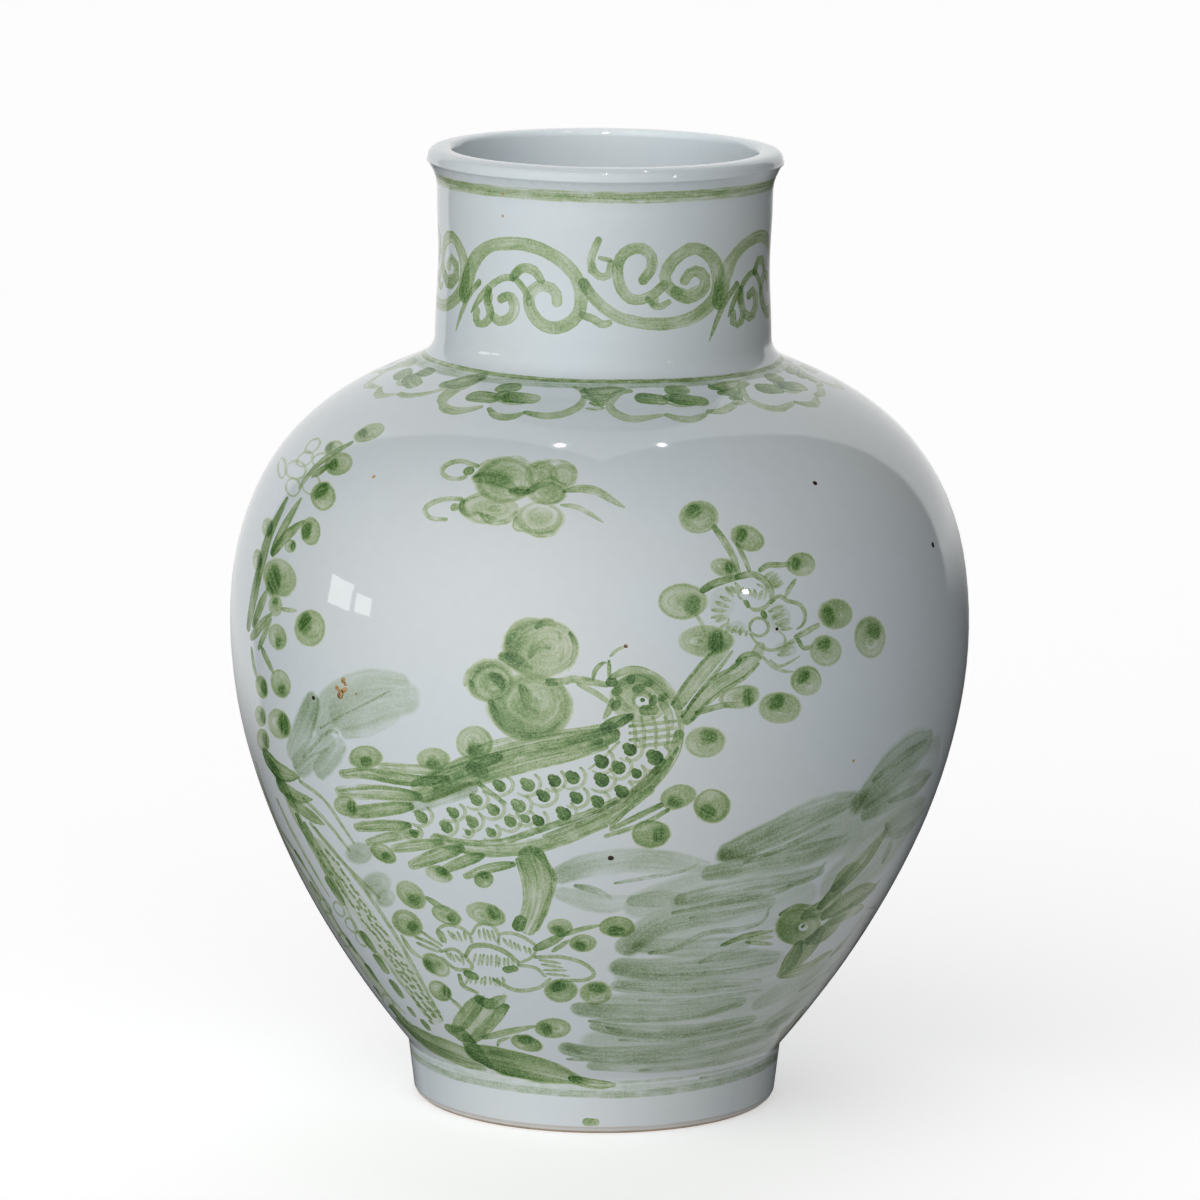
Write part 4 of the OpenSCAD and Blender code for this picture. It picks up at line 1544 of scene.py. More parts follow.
class Skin:
    """The painted glaze coat: the chart cut along every stroke, then laid on the wall."""

    LAYERS = 5
    BASE_STRIP = 0.06  # share of the texture map that the hidden side has
    STRIP_FILL = 0.8
    HIDDEN_SLACK = 0.0002
    PAST_SEAM = 0.01  # patches this far past the chart's edge still count
    CELL = 0.004  # size of the squares that triangles are looked up by
    OFF_STROKE = 9.0  # the place of a corner that no stroke covers
    SAME = 1e-7
    SEAM_SLACK = 1e-5

    def __init__(self, wall, painting, columns, widest_row):
        self.wall = wall
        self.painting = painting
        self.columns = columns
        self.rows = wall.rows(widest_row)

    def cut_chart(self):
        """Cuts the chart into triangles along the edges of every ribbon."""
        scale = Painting.CHART_RADIUS
        spots = []
        for along in self.rows:
            for column in range(self.columns + 1):
                angle = -math.pi + math.tau * column / self.columns
                spots.append((angle * scale, along))
        wide = self.columns + 1
        last = len(self.rows) - 1
        edges = []
        for row in range(last):
            edges.append((row * wide, (row + 1) * wide))
            edges.append((row * wide + self.columns, (row + 1) * wide + self.columns))
        for column in range(self.columns):
            edges.append((column, column + 1))
            edges.append((last * wide + column, last * wide + column + 1))
        self.patches = []
        limit = math.pi * scale
        for mark in self.painting.marks:
            for shift in (-math.tau, 0.0, math.tau):
                low = min(mark.left[:, 0].min(), mark.right[:, 0].min()) + shift
                high = max(mark.left[:, 0].max(), mark.right[:, 0].max()) + shift
                if low > math.pi or high < -math.pi:
                    continue
                base = len(spots)
                for left, right in zip(mark.left, mark.right):
                    spots.append(((left[0] + shift) * scale, left[1]))
                    spots.append(((right[0] + shift) * scale, right[1]))
                for row in range(len(mark.left) - 1):
                    at = base + 2 * row
                    reach = [spots[at + corner][0] for corner in range(4)]
                    if min(reach) < limit + self.PAST_SEAM and max(reach) > -limit - self.PAST_SEAM:
                        edges += [(at, at + 1), (at + 1, at + 3), (at + 3, at + 2), (at + 2, at)]
                        self.patches.append((mark, row, at))
        self.spots = np.array(spots)
        made = delaunay_2d_cdt([Vector(spot) for spot in spots], edges, [], 0, self.SAME, False)
        self.points = np.array([(point.x, point.y) for point in made[0]])
        triangles = np.array(made[2])
        middles = self.points[triangles].mean(axis=1)
        kept = np.abs(middles[:, 0]) < limit
        self.triangles = triangles[kept]
        self.middles = middles[kept]

    def covered(self):
        """Pairs of a triangle and a patch that its middle lies in."""
        cell = self.CELL
        cells = {}
        for triangle, (column, row) in enumerate(np.floor(self.middles / cell).astype(int)):
            cells.setdefault((column, row), []).append(triangle)
        pairs = []
        for patch, (_, _, at) in enumerate(self.patches):
            corners = self.spots[[at, at + 1, at + 3, at + 2]]
            low = np.floor(corners.min(axis=0) / cell).astype(int)
            high = np.floor(corners.max(axis=0) / cell).astype(int)
            near = []
            for column in range(low[0], high[0] + 1):
                for row in range(low[1], high[1] + 1):
                    near += cells.get((column, row), [])
            if not near:
                continue
            near = np.array(near)
            offset = self.middles[near][:, None] - corners
            side = np.roll(corners, -1, axis=0) - corners
            turned = side[:, 0] * offset[..., 1] - side[:, 1] * offset[..., 0]
            inside = near[(turned > -1e-12).all(axis=1)]
            pairs += [(triangle, patch) for triangle in inside]
        return np.array(pairs)

    def layers_of(self):
        """For every triangle corner and layer: the place in the stroke, and the stroke's pigment."""
        pairs = self.covered()
        at = np.array([patch[2] for patch in self.patches])
        share = self.inside_patch(self.middles[pairs[:, 0]][:, None], at[pairs[:, 1]])
        off_centre = np.abs(share[:, 0, 1] - 0.5)
        best = {}
        for (triangle, patch), away in zip(pairs, off_centre):
            mark = self.patches[patch][0]
            strokes = best.setdefault(triangle, {})
            if id(mark) not in strokes or away < strokes[id(mark)][0]:
                strokes[id(mark)] = (away, -abs(mark.pigment[0]), patch)
        chosen = []
        for triangle, strokes in best.items():
            order = sorted(strokes.values(), key=lambda stroke: stroke[1])
            for layer, (_, _, patch) in enumerate(order[: self.LAYERS]):
                chosen.append((triangle, layer, patch))
        chosen = np.array(chosen)
        marks = [self.patches[patch] for patch in chosen[:, 2]]
        spots = self.points[self.triangles[chosen[:, 0]]]
        share = self.inside_patch(spots, at[chosen[:, 2]])
        since = np.array([mark.since[row : row + 2] for mark, row, _ in marks])
        until = np.array([mark.until[row : row + 2] for mark, row, _ in marks])
        sides = np.array([mark.sides for mark, _, _ in marks])
        step = share[..., 0]
        place = np.stack([
            since[:, :1] * (1 - step) + since[:, 1:] * step,
            sides[:, :1] * (1 - share[..., 1]) + sides[:, 1:] * share[..., 1],
            until[:, :1] * (1 - step) + until[:, 1:] * step,
        ], axis=2)
        pigment = np.array([mark.pigment for mark, _, _ in marks])
        places = np.full((self.LAYERS, len(self.triangles), 3, 3), self.OFF_STROKE)
        pigments = np.zeros((self.LAYERS, len(self.triangles), 3, 3))
        places[chosen[:, 1], chosen[:, 0]] = place
        pigments[chosen[:, 1], chosen[:, 0]] = pigment[:, None, :]
        return places, pigments

    def inside_patch(self, spots, at):
        """How far along and across its patch each spot lies, both from 0 to 1."""
        a = self.spots[at][:, None]
        b = self.spots[at + 1][:, None] - a
        c = self.spots[at + 2][:, None] - a
        d = self.spots[at + 3][:, None] - a - b - c
        share = np.full(spots.shape, 0.5)
        for _ in range(8):
            u = share[..., :1]
            v = share[..., 1:]
            miss = a + v * b + u * c + u * v * d - spots
            by_u = c + v * d
            by_v = b + u * d
            size = by_u[..., 0] * by_v[..., 1] - by_u[..., 1] * by_v[..., 0]
            size = np.where(np.abs(size) < 1e-14, 1e-14, size)
            move_u = (miss[..., 0] * by_v[..., 1] - miss[..., 1] * by_v[..., 0]) / size
            move_v = (by_u[..., 0] * miss[..., 1] - by_u[..., 1] * miss[..., 0]) / size
            share = np.clip(share - np.stack([move_u, move_v], axis=2), -0.3, 1.3)
        return np.clip(share, 0, 1)

    def build(self, unevenness):
        """The closed coat as a mesh, with its strokes as corner attributes."""
        self.cut_chart()
        places, pigments = self.layers_of()
        scale = Painting.CHART_RADIUS
        angle = self.points[:, 0] / scale
        along = self.points[:, 1]
        position, facing = self.wall.surface(angle, along, unevenness)
        owner = self.close_seam(angle, along)
        used = sorted({int(owner[index]) for triangle in self.triangles for index in triangle})
        number = {index: place for place, index in enumerate(used)}
        vertices = [tuple(position[index]) for index in used]
        normals = [tuple(facing[index]) for index in used]
        faces = [tuple(number[int(owner[index])] for index in triangle) for triangle in self.triangles]
        chart = np.stack([
            angle / math.tau + 0.5,
            self.BASE_STRIP + (1 - self.BASE_STRIP) * along / self.wall.length,
        ], axis=1)
        map_corners = [chart[index] for triangle in self.triangles for index in triangle]
        bottom = self.boundary(angle, along, owner, number, 0.0)
        top = self.boundary(angle, along, owner, number, self.wall.length)
        rings = [top]
        turn = [math.tau * column / self.columns - math.pi for column in range(self.columns)]
        for radius, height in thinned(self.wall.hidden, self.HIDDEN_SLACK):
            ring = []
            for step in turn:
                ring.append(len(vertices))
                vertices.append((radius * math.sin(step), -radius * math.cos(step), height))
                normals.append((-math.sin(step), math.cos(step), 0.0))
            rings.append(ring)
        rings.append(bottom)
        for level, (upper, lower) in enumerate(zip(rings, rings[1:])):
            for column in range(self.columns):
                following = (column + 1) % self.columns
                faces.append((upper[column], upper[following], lower[following], lower[column]))
                for step, drop in ((0, 0), (1, 0), (1, 1), (0, 1)):
                    share = (level + drop) / len(rings) * self.STRIP_FILL
                    map_corners.append(((column + step) / self.columns, share * self.BASE_STRIP))
        mesh = bpy.data.meshes.new("painted_skin")
        mesh.from_pydata(vertices, [], faces)
        self.keep_strokes(mesh, places, pigments)
        layer = mesh.uv_layers.new(name="OFBake")
        layer.data.foreach_set("uv", np.array(map_corners, dtype=np.float32).ravel())
        mesh.normals_split_custom_set_from_vertices(normals)
        return mesh

    def keep_strokes(self, mesh, places, pigments):
        """Writes the layers of strokes to the mesh; the hidden side has none."""
        corners = len(mesh.loops)
        for layer in range(self.LAYERS):
            for name, values in (("place", places[layer]), ("pigment", pigments[layer])):
                data = np.zeros((corners, 3), dtype=np.float32)
                data[: values.shape[0] * 3] = values.reshape(-1, 3)
                attribute = mesh.attributes.new(f"{name}_{layer}", "FLOAT_VECTOR", "CORNER")
                attribute.data.foreach_set("vector", data.ravel())

    def close_seam(self, angle, along):
        """Gives each point of the right seam the number of its twin on the left one."""
        owner = np.arange(len(angle))
        left = np.where(np.abs(angle + math.pi) < 1e-6)[0]
        right = np.where(np.abs(angle - math.pi) < 1e-6)[0]
        left = left[np.argsort(along[left])]
        right = right[np.argsort(along[right])]
        nearest = np.searchsorted(along[left], along[right])
        for point, guess in zip(right, nearest):
            near = [left[k] for k in (guess - 1, guess) if 0 <= k < len(left)]
            twin = min(near, key=lambda k: abs(along[k] - along[point]))
            if abs(along[twin] - along[point]) < self.SEAM_SLACK:
                owner[point] = twin
        return owner

    def boundary(self, angle, along, owner, number, level):
        """The points of one end of the wall, in order round the jar."""
        row = [index for index in np.where(np.abs(along - level) < self.SAME)[0] if index in number]
        row = [index for index in row if owner[index] == index]
        row.sort(key=lambda index: angle[index])
        if len(row) != self.columns:
            raise RuntimeError(f"the skin's edge has {len(row)} points instead of {self.columns}")
        return [number[index] for index in row]


LAYER_BLEND = 1.5  # strokes that cross darken each other less than their sum
PIGMENT_BENDS = (1.11, 1.0, 0.9)  # thin pigment is yellower and thick pigment greener
BURNT = (0.025, 0.015, 0.012, 1.0)  # the middle of a thick iron speck
FOOT_LINE = (0.40, 0.30, 0.215, 1.0)  # the toasted edge of the glaze at the foot
FOOT_LINE_LOW = 0.0002
FOOT_LINE_HIGH = 0.0012
PINHOLE = (0.2, 0.13, 0.08, 1.0)
GRIT = (0.12, 0.08, 0.05, 1.0)
SMEARED_GLAZE = (0.60, 0.62, 0.61, 1.0)
GLAZE_IOR = 1.5
RIPPLE_SCALE = 38.0
RIPPLE_HEIGHT = 0.0006
SEED_SPREAD = 61.0  # sets the noise of one stroke apart from the next


def stroke_density(graph, layer, grain):
    """How much pigment one layer of strokes leaves, and whether it is a cool wash."""
    since, across, until = graph.parts(graph.attribute(f"place_{layer}"))
    ink, dry, seed = graph.parts(graph.attribute(f"pigment_{layer}"))
    before = since.least(0.0)
    after = until.least(0.0)
    past = (across * across + before * before + after * after) ** 0.5
    own = seed * SEED_SPREAD
    cool = seed.fade(1.4, 1.6)
    rough = dry.least(0.5)
    soft = (dry - 1.0).most(0.0)
    ragged = graph.noise(graph.vector(since * 0.45, across * 0.7, own), 1.0, 3.0, 0.6)
    edge = past + (ragged - 0.5) * 0.36 + (grain - 0.5) * (0.06 + rough * 0.2)
    cover = 1 - edge.fade(0.93 - rough * 0.08 - cool * 0.2 - soft * 1.1, 1.05 + cool * 0.04)
    load = graph.noise(graph.vector(since * 0.3, across * 0.5, own + 3.0), 1.0, 2.0, 0.5)
    bristles = (across + (load - 0.5) * 0.5) * 3.8
    streaks = graph.noise(graph.vector(since * 0.13, bristles, own + 7.0), 1.0, 3.0, 0.65)
    pooled = past.fade(0.6, 0.97) * 0.2
    loaded = (1 - since.fade(-0.3, 3.6)) * (0.3 + dry * 0.6)
    depth = 1.04 - dry * 0.2 + pooled + loaded + (load - 0.5) * (1.2 + dry * 1.2)
    depth = depth + dry * (streaks - 0.5) * (3.4 - cool * 0.7)
    return cover * depth.most(0.1) * ink, cool


def glaze_ground(graph, place, settings):
    """Colour of the bare glaze: drifts of warmer and cooler white, and a fine mottle."""
    drift = graph.noise(place, 7.0, 2.0, 0.5).fade(0.3, 0.7)
    mottle = graph.noise(place, 160.0, 3.0, 0.6)
    red, green, blue = settings.glaze
    cool = (red * 0.985, green * 1.0, blue * 1.01, 1.0)
    warm = (red * 1.02, green * 1.0, blue * 0.975, 1.0)
    ground = graph.tint(drift, cool, warm)
    shade = 0.97 + mottle * 0.06
    return graph.tint(1.0, ground, graph.colour(shade, shade, shade), "MULTIPLY")


def through(graph, share, density, bends=(1.0, 1.0, 1.0)):
    """Light that a density of colour lets through, for a share at density 1."""
    return graph.colour(*[part ** (density ** bend) for part, bend in zip(share, bends)])


def glossy_finish(graph, settings, colour, ripple, strength):
    """Ends a glaze in a glossy surface that ripples a little."""
    finish_surface(graph, {
        "Base Color": colour,
        "Roughness": settings.roughness,
        "IOR": GLAZE_IOR,
        "Normal": graph.bump(ripple, strength, RIPPLE_HEIGHT),
    })


def painted_glaze(settings):
    """Blue-white glaze over green brush painting."""
    material, graph = new_material("painted_glaze")
    place = object_place(graph)
    grain = graph.noise(place, 1000.0, 2.0, 0.8)
    green = 0.0
    wash = 0.0
    iron = 0.0
    for layer in range(Skin.LAYERS):
        density, cool = stroke_density(graph, layer, grain)
        iron = iron + (0 - density).most(0.0)
        density = density.most(0.0) ** LAYER_BLEND
        green = green + density * (1 - cool)
        wash = wash + density * cool
    cloud = graph.noise(place, 60.0, 2.0, 0.5)
    speckle = (1.0 + (grain - 0.5) * 2.3 + (cloud - 0.5) * 0.4).most(0.05)
    green = green ** (1 / LAYER_BLEND) * speckle
    wash = wash ** (1 / LAYER_BLEND) * speckle
    ground = glaze_ground(graph, place, settings)
    colour = graph.tint(1.0, ground, through(graph, settings.pigment, green, PIGMENT_BENDS), "MULTIPLY")
    colour = graph.tint(1.0, colour, through(graph, settings.wash, wash), "MULTIPLY")
    colour = graph.tint(iron.fade(0.1, 0.5), colour, (*settings.iron, 1.0))
    colour = graph.tint(iron.fade(0.7, 1.3), colour, BURNT)
    height = graph.parts(place)[2]
    foot_edge = 1 - height.fade(BARE_TOP + FOOT_LINE_LOW, BARE_TOP + FOOT_LINE_HIGH)
    wander = graph.noise(place, 45.0, 3.0, 0.6)
    colour = graph.tint(foot_edge * wander.fade(0.2, 0.5) * 0.5, colour, FOOT_LINE)
    ripple = graph.noise(place, RIPPLE_SCALE, 2.0, 0.5) + graph.noise(place, 420.0, 2.0, 0.6) * 0.016
    glossy_finish(graph, settings, colour, ripple, 0.2)
    return material


def lining_glaze(settings):
    """The same glaze without painting, with pinholes."""
    material, graph = new_material("lining_glaze")
    place = object_place(graph)
    ground = glaze_ground(graph, place, settings)
    cells = graph.node("ShaderNodeTexVoronoi", None, {"Vector": place, "Scale": 42.0, "Randomness": 1.0})
    pick = graph.noise(place, 19.0, 1.0)
    pinhole = (1 - cells.fade(0.03, 0.075)) * pick.fade(0.6, 0.64)
    colour = graph.tint(pinhole * 0.7, ground, PINHOLE)
    glossy_finish(graph, settings, colour, graph.noise(place, RIPPLE_SCALE, 2.0, 0.5), 0.35)
    return material


def bare_clay(name, pale, dark, grit, smear=0.0):
    """Unglazed clay: cloudy colour, dark grit and turning lines."""
    material, graph = new_material(name)
    place = object_place(graph)
    x, y, height = graph.parts(place)
    radius = (x * x + y * y) ** 0.5
    cloud = graph.noise(place, 55.0, 4.0, 0.6).fade(0.3, 0.75)
    grains = graph.noise(place, 900.0, 2.0, 0.7)
    colour = graph.tint(cloud, (*pale, 1.0), (*dark, 1.0))
    colour = graph.tint(grains.fade(0.62, 0.74) * grit, colour, GRIT)
    colour = graph.tint(height.fade(0.0009, 0.0019) * smear, colour, SMEARED_GLAZE)
    lines = graph.noise(graph.vector(radius * 900.0, height * 900.0, 0.0), 1.0, 2.0, 0.6)
    finish_surface(graph, {
        "Base Color": colour,
        "Roughness": 0.78 + cloud * 0.12,
        "Normal": graph.bump(lines + grains * 0.8, 0.5, 0.0004),
    })
    return material


def turning_tree():
    """Nodes that turn a section line round the jar's axis and ripple it like a thrown wall."""
    tree = bpy.data.node_groups.new("turn_section", "GeometryNodeTree")
    sockets = tree.interface
    sockets.new_socket("Section", in_out="INPUT", socket_type="NodeSocketGeometry")
    for name, kind, default in (
        ("Columns", "NodeSocketInt", 128),
        ("Rows", "NodeSocketInt", 200),
        ("Ring Depth", "NodeSocketFloat", 0.0),
        ("Ring Pitch", "NodeSocketFloat", 0.01),
        ("Ring Floor", "NodeSocketFloat", 0.0),
        ("Ring Ceiling", "NodeSocketFloat", 1.0),
    ):
        sockets.new_socket(name, in_out="INPUT", socket_type=kind).default_value = default
    sockets.new_socket("Material", in_out="INPUT", socket_type="NodeSocketMaterial")
    sockets.new_socket("Piece", in_out="OUTPUT", socket_type="NodeSocketGeometry")
    graph = Graph(tree)
    entry = tree.nodes.new("NodeGroupInput")
    given = {socket.name: Wire(graph, socket) for socket in entry.outputs if socket.name}
    grid = graph.node("GeometryNodeMeshGrid", None, {
        "Size X": 1.0, "Size Y": 1.0, "Vertices X": given["Columns"] + 1, "Vertices Y": given["Rows"],
    })
    column, row, _ = graph.parts(graph.node("GeometryNodeInputPosition"))
    angle = (column + 0.5) * math.tau
    spot = graph.node(
        "GeometryNodeSampleIndex",
        {"data_type": "FLOAT_VECTOR", "domain": "POINT"},
        {
            "Geometry": given["Section"],
            "Value": graph.node("GeometryNodeInputPosition"),
            "Index": (row + 0.5) * (given["Rows"] - 1) + 0.5,
        },
    )
    radius, _, height = graph.parts(spot)
    around = graph.vector(angle.sine() * 0.5, angle.cosine() * 0.5, height * 3.0)
    unsteady = graph.node("ShaderNodeTexNoise", {"noise_dimensions": "4D"}, {
        "Vector": around, "W": 3.0, "Scale": 4.0, "Detail": 1.0,
    })
    wave = (height / given["Ring Pitch"] * math.tau + unsteady * 5.0).sine()
    within = height.fade(given["Ring Floor"], given["Ring Floor"] + 0.01)
    within = within * (1 - height.fade(given["Ring Ceiling"] - 0.01, given["Ring Ceiling"]))
    radius = radius + wave * within * given["Ring Depth"]
    place = graph.vector(radius * angle.sine(), radius * angle.cosine() * -1.0, height)
    turned = graph.node("GeometryNodeSetPosition", None, {"Geometry": grid, "Position": place})
    closed = graph.node("GeometryNodeMergeByDistance", None, {"Geometry": turned, "Distance": 1e-6})
    real = graph.node("GeometryNodeRealizeInstances", None, {"Geometry": closed})
    cover = {"Geometry": real, "Material": given["Material"]}
    dressed = graph.node("GeometryNodeSetMaterial", None, cover)
    graph.node("NodeGroupOutput", None, {"Piece": dressed})
    return tree


def evenly(path, spacing):
    """The same path with points added so that none are further apart than the spacing."""
    points = [path[0]]
    for start, end in zip(path, path[1:]):
        pieces = max(1, math.ceil(math.dist(start, end) / spacing))
        for step in range(1, pieces + 1):
            share = step / pieces
            points.append(tuple(a + (b - a) * share for a, b in zip(start, end)))
    return points


SAME_PLACE = 1e-6
SHARP_EDGE = math.radians(38)
LINING_SPACING = 0.006
FOOT_SPACING = 0.003
RINGS_ABOVE_FOOT = 0.02
RINGS_BELOW_LIP = 0.012
FOOT_CLAY = ((0.56, 0.46, 0.36), (0.36, 0.27, 0.19))
BODY_CLAY = ((0.62, 0.57, 0.50), (0.52, 0.46, 0.38))
LUTING_SLIP = ((0.55, 0.49, 0.41), (0.44, 0.38, 0.30))


def turned_mesh(name, section, material, columns, **rings):
    """Turns a section with the node tree and gives back a plain closed mesh."""
    line = bpy.data.meshes.new(f"{name}_section")
    points = [(radius, 0.0, height) for radius, height in section]
    line.from_pydata(points, [(k, k + 1) for k in range(len(points) - 1)], [])
    worker = bpy.data.objects.new(f"{name}_turning", line)
    bpy.context.scene.collection.objects.link(worker)
    modifier = worker.modifiers.new("turning", "NODES")
    modifier.node_group = bpy.data.node_groups.get("turn_section") or turning_tree()
    inputs = {"Material": material, "Rows": len(points), "Columns": columns, **rings}
    for item in modifier.node_group.interface.items_tree:
        if item.in_out == "INPUT" and item.name in inputs:
            modifier[item.identifier] = inputs[item.name]
    shown = worker.evaluated_get(bpy.context.evaluated_depsgraph_get())
    mesh = bpy.data.meshes.new_from_object(shown)
    mesh.name = name
    worker.modifiers.remove(modifier)
    bpy.data.objects.remove(worker)
    tidy = bmesh.new()
    tidy.from_mesh(mesh)
    bmesh.ops.remove_doubles(tidy, verts=tidy.verts, dist=SAME_PLACE)
    bmesh.ops.dissolve_degenerate(tidy, dist=SAME_PLACE / 10, edges=tidy.edges)
    bmesh.ops.recalc_face_normals(tidy, faces=tidy.faces)
    tidy.to_mesh(mesh)
    tidy.free()
    for polygon in mesh.polygons:
        polygon.use_smooth = True
    mesh.set_sharp_from_angle(angle=SHARP_EDGE)
    return mesh


def place_piece(name, mesh, material, node):
    """Puts a finished mesh in the scene in place of a CAD node."""
    piece = bpy.data.objects.new(name, mesh)
    bpy.context.scene.collection.objects.link(piece)
    if not mesh.materials:
        mesh.materials.append(material)
    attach(piece, "root")
    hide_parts(node)
    return piece


class JAR_OT_skin(bpy.types.Operator):
    """Make the painted glaze coat of the outside"""

    bl_idname = "jar.skin"
    bl_label = "Painted Skin"

    def execute(self, context):
        scene = context.scene
        wall = Wall(section_of("outer_glaze"))
        painting = paint_jar(wall, Viewpoint(scene.jar_studio))
        skin = Skin(wall, painting, scene.jar_turning.columns, scene.jar_turning.widest_row)
        mesh = skin.build(scene.jar_glaze.unevenness)
        print(f"skin: {len(painting.marks)} strokes, {len(mesh.polygons)} faces")
        place_piece("painted_skin", mesh, painted_glaze(scene.jar_glaze), "outer_glaze")
        return {"FINISHED"}


class JAR_OT_lining(bpy.types.Operator):
    """Make the glaze of the mouth and the inside, and the glaze under the floor"""

    bl_idname = "jar.lining"
    bl_label = "Lining and Base"

    def execute(self, context):
        turning = context.scene.jar_turning
        material = lining_glaze(context.scene.jar_glaze)
        section = section_of("inner_glaze")
        section = [(0.0, section[0][1]), *section, (0.0, section[-1][1])]
        mesh = turned_mesh("lining", evenly(section, LINING_SPACING), material, 160, **{
            "Ring Depth": turning.ring_depth,
            "Ring Pitch": turning.ring_pitch,
            "Ring Floor": FOOT_TOP + RINGS_ABOVE_FOOT,
            "Ring Ceiling": JAR_TOP - RINGS_BELOW_LIP,
        })
        place_piece("lining", mesh, material, "inner_glaze")
        low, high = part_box("base_glaze")
        section = [(0.0, high.z), (high.x, high.z), (high.x, low.z), (0.0, low.z)]
        mesh = turned_mesh("base", evenly(section, LINING_SPACING), material, 128)
        place_piece("base", mesh, material, "base_glaze")
        return {"FINISHED"}


class JAR_OT_foot(bpy.types.Operator):
    """Make the bare foot ring"""

    bl_idname = "jar.foot"
    bl_label = "Foot Ring"

    def execute(self, context):
        material = bare_clay("foot_biscuit", *FOOT_CLAY, 0.5, smear=0.85)
        section = section_of("foot_ring")
        mesh = turned_mesh("foot", evenly(section + section[:1], FOOT_SPACING), material, 160)
        place_piece("foot", mesh, material, "foot_ring")
        return {"FINISHED"}


class JAR_OT_clay(bpy.types.Operator):
    """Finish the clay and the slip joints inside the glaze"""

    bl_idname = "jar.clay"
    bl_label = "Clay and Slip"

    def execute(self, context):
        clay = bare_clay("body_clay", *BODY_CLAY, 0.3)
        slip = bare_clay("luting_slip", *LUTING_SLIP, 0.2)
        for material, nodes in (
            (clay, ("lower_body", "upper_body", "neck")),
            (slip, ("foot_slip", "belly_slip", "neck_slip")),
        ):
            for node in nodes:
                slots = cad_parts[node].data.materials
                slots.clear()
                slots.append(material)
        return {"FINISHED"}


WHITE = (1.0, 1.0, 1.0, 1.0)
SHOULDER = (0.0, 0.0, 0.36)
BELLY = (0.0, 0.0, 0.26)
# Each light has a name, a place, a target, a size and a power
GLINTS = (
    ("ceiling_left", (-0.24, 0.18, 1.98), SHOULDER, (0.022, 0.022), 3.0),
    ("ceiling_right", (0.33, 0.23, 1.97), SHOULDER, (0.022, 0.022), 3.0),
)
PANELS = (
    ("right_lamp", (1.26, -1.26, 0.75), BELLY, (0.05, 0.05), 0.5),
    ("window_left", (-1.80, -0.16, 0.44), BELLY, (0.30, 0.22), 0.8),
    ("window_right", (-1.76, -0.46, 0.42), BELLY, (0.20, 0.16), 0.4),
)
MOUTH_LAMP = (0.0, -0.75, 1.35)
MOUTH_TARGET = (0.0, 0.066, 0.42)
MOUTH_POWER = 26.0
MOUTH_CONE = math.radians(8.5)
ROOM_LEVEL = 0.05
ROOM_LIGHTS = ((-26, 17, 1.62), (-25, -55, 0.3), (62, -38, 0.1))  # azimuth, elevation and strength
BACKDROP_LEVEL = 0.9
SWEEP_LEVEL = 0.4
FLOOR_REACH = 14.0
FLOOR_GLOW = 0.42


def hang_light(light, place, target):
    """Puts a light in the scene, turned towards a target."""
    lamp = bpy.data.objects.new(light.name, light)
    lamp.location = place
    lamp.rotation_euler = (Vector(target) - Vector(place)).to_track_quat("-Z", "Y").to_euler()
    bpy.context.scene.collection.objects.link(lamp)
    return lamp


def add_panel_light(name, place, target, size, power):
    """A soft rectangular studio light."""
    light = bpy.data.lights.new(name, "AREA")
    light.shape = "RECTANGLE"
    light.size, light.size_y = size
    light.energy = power
    return hang_light(light, place, target)


def add_mouth_light():
    """A narrow spot that reaches into the mouth."""
    light = bpy.data.lights.new("mouth_lamp", "SPOT")
    light.energy = MOUTH_POWER
    light.spot_size = MOUTH_CONE
    light.spot_blend = 0.7
    light.shadow_soft_size = 0.04
    hang_light(light, MOUTH_LAMP, MOUTH_TARGET)


def lobe(graph, direction, azimuth, elevation):
    """Soft light from one side of the room; azimuth 0 is the camera's side and 90 the right."""
    turn = math.radians(azimuth)
    lift = math.radians(elevation)
    centre = (math.sin(turn) * math.cos(lift), -math.cos(turn) * math.cos(lift), math.sin(lift))
    product = {"operation": "DOT_PRODUCT"}
    facing = graph.node("ShaderNodeVectorMath", product, {0: direction, 1: centre}, output="Value")
    return facing.most(0.0) ** 2.0


def studio_world(strength):
    """A dim room with soft light from the camera's left and from behind the jar."""
    world = bpy.data.worlds.new("studio")
    world.use_nodes = True
    world.node_tree.nodes.clear()
    graph = Graph(world.node_tree)
    direction = graph.node("ShaderNodeTexCoord", None, None, output="Generated")
    x, y, up = graph.parts(direction)
    behind = (y - x * 0.03) / (x * x + y * y + 1e-6) ** 0.5
    backdrop = behind.fade(0.72, 0.765) * (up - x * 0.2).fade(-0.25, -0.1)
    sweep = (0 - up).fade(0.3, 0.5) * y.fade(0.2, 0.5) * x.fade(-0.1, 0.3)
    level = ROOM_LEVEL
    for azimuth, elevation, brightness in ROOM_LIGHTS:
        level = level + lobe(graph, direction, azimuth, elevation) * brightness
    level = level + backdrop * BACKDROP_LEVEL + sweep * SWEEP_LEVEL
    surface = graph.node("ShaderNodeBackground", None, {"Color": WHITE, "Strength": level * strength})
    graph.node("ShaderNodeOutputWorld", None, {"Surface": surface})
    return world


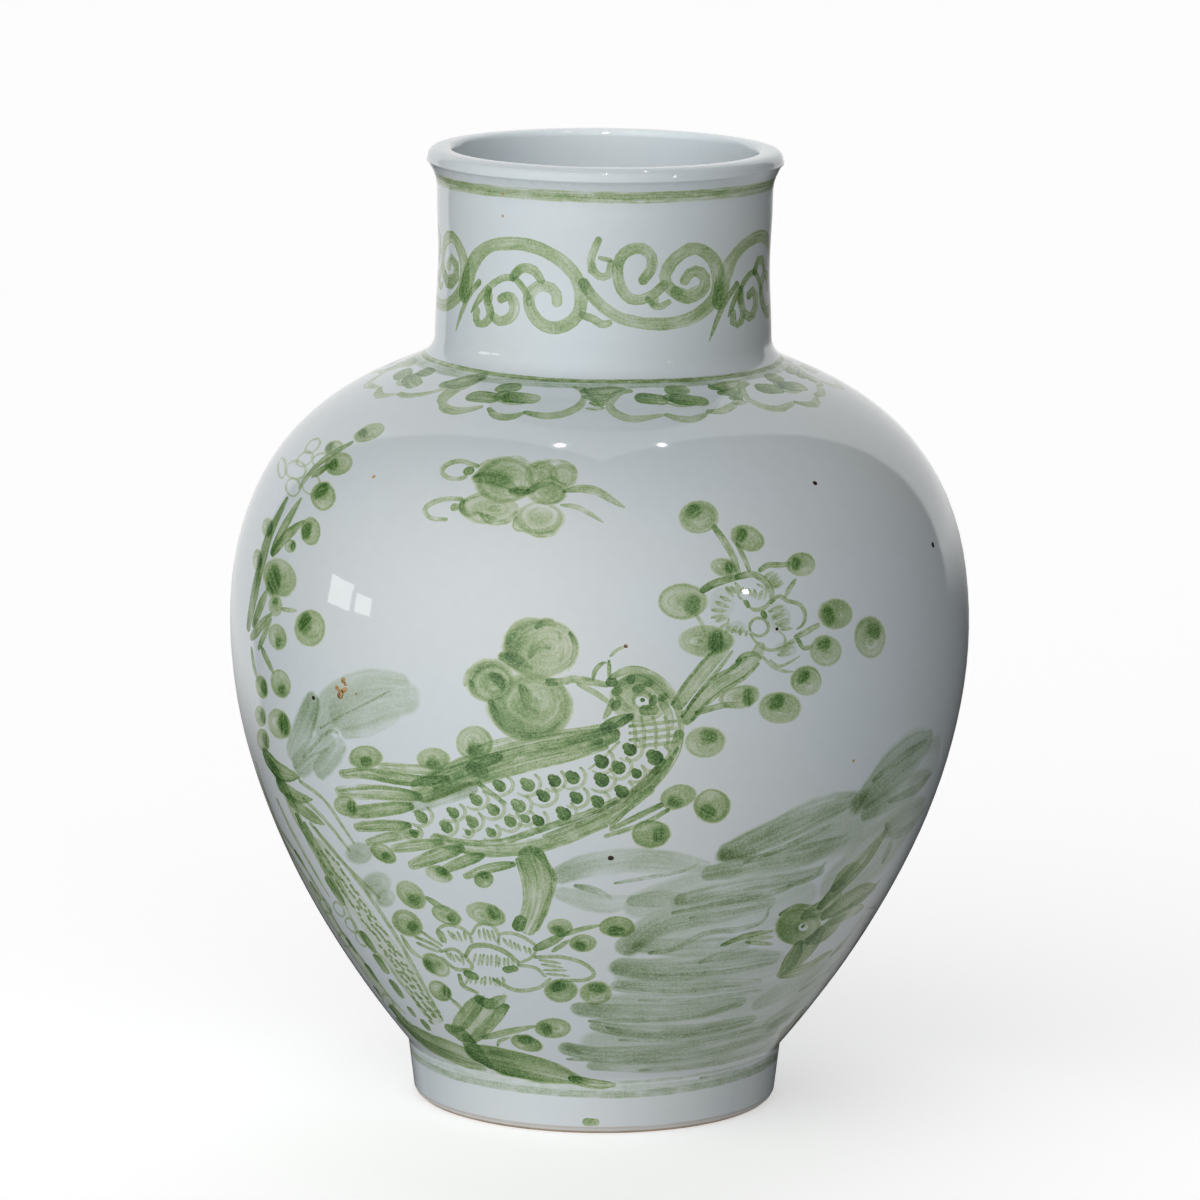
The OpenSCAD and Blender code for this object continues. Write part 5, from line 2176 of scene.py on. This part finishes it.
def add_floor(colour):
    """The plain pale floor, which throws no light and no reflection on the jar."""
    material, graph = new_material("studio_floor")
    cloud = graph.noise(object_place(graph), 3.0, 2.0)
    finish_surface(graph, {
        "Base Color": graph.tint(cloud, (*colour, 1.0), (*[0.985 * part for part in colour], 1.0)),
        "Roughness": 0.9,
        "Specular IOR Level": 0.1,
        "Emission Color": WHITE,
        "Emission Strength": FLOOR_GLOW,
    })
    mesh = bpy.data.meshes.new("floor")
    corners = [(x * FLOOR_REACH, y * FLOOR_REACH, 0) for x, y in ((-1, -1), (1, -1), (1, 1), (-1, 1))]
    mesh.from_pydata(corners, [], [(0, 1, 2, 3)])
    mesh.materials.append(material)
    floor = bpy.data.objects.new("floor", mesh)
    bpy.context.scene.collection.objects.link(floor)
    floor.visible_diffuse = False
    floor.visible_glossy = False


class JAR_OT_stage(bpy.types.Operator):
    """Set up the floor, the light and the camera"""

    bl_idname = "jar.stage"
    bl_label = "Studio"

    def execute(self, context):
        scene = context.scene
        studio = scene.jar_studio
        add_floor(studio.floor)
        scene.world = studio_world(studio.daylight)
        scene.view_settings.view_transform = "Standard"
        for lamp in GLINTS:
            add_panel_light(*lamp).visible_diffuse = False
        for lamp in PANELS:
            add_panel_light(*lamp)
        add_mouth_light()
        lens = bpy.data.cameras.new("photo_camera")
        lens.sensor_width = SENSOR
        lens.lens = studio.lens
        camera = bpy.data.objects.new("photo_camera", lens)
        camera.matrix_world = Viewpoint(studio).matrix()
        scene.collection.objects.link(camera)
        scene.camera = camera
        return {"FINISHED"}


STEPS = (JAR_OT_skin, JAR_OT_lining, JAR_OT_foot, JAR_OT_clay, JAR_OT_stage)


class JAR_PT_panel(bpy.types.Panel):
    """Lists the steps and the sizes of the jar"""

    bl_idname = "JAR_PT_panel"
    bl_label = "Porcelain Jar"
    bl_space_type = "VIEW_3D"
    bl_region_type = "UI"
    bl_category = "Jar"

    def draw(self, context):
        for step in STEPS:
            self.layout.operator(step.bl_idname)
        for key in GROUPS:
            group = getattr(context.scene, key)
            for name in group.__annotations__:
                self.layout.prop(group, name)


GROUPS = {"jar_glaze": JarGlaze, "jar_turning": JarTurning, "jar_studio": JarStudio}
CLASSES = (*GROUPS.values(), *STEPS, JAR_PT_panel)


def register():
    for entry in CLASSES:
        bpy.utils.register_class(entry)
    for key, group in GROUPS.items():
        setattr(bpy.types.Scene, key, bpy.props.PointerProperty(type=group))


def unregister():
    for key in GROUPS:
        delattr(bpy.types.Scene, key)
    for entry in reversed(CLASSES):
        bpy.utils.unregister_class(entry)


def main():
    register()
    bpy.ops.jar.skin()
    bpy.ops.jar.lining()
    bpy.ops.jar.foot()
    bpy.ops.jar.clay()
    bpy.ops.jar.stage()


if __name__ == "__main__":
    main()
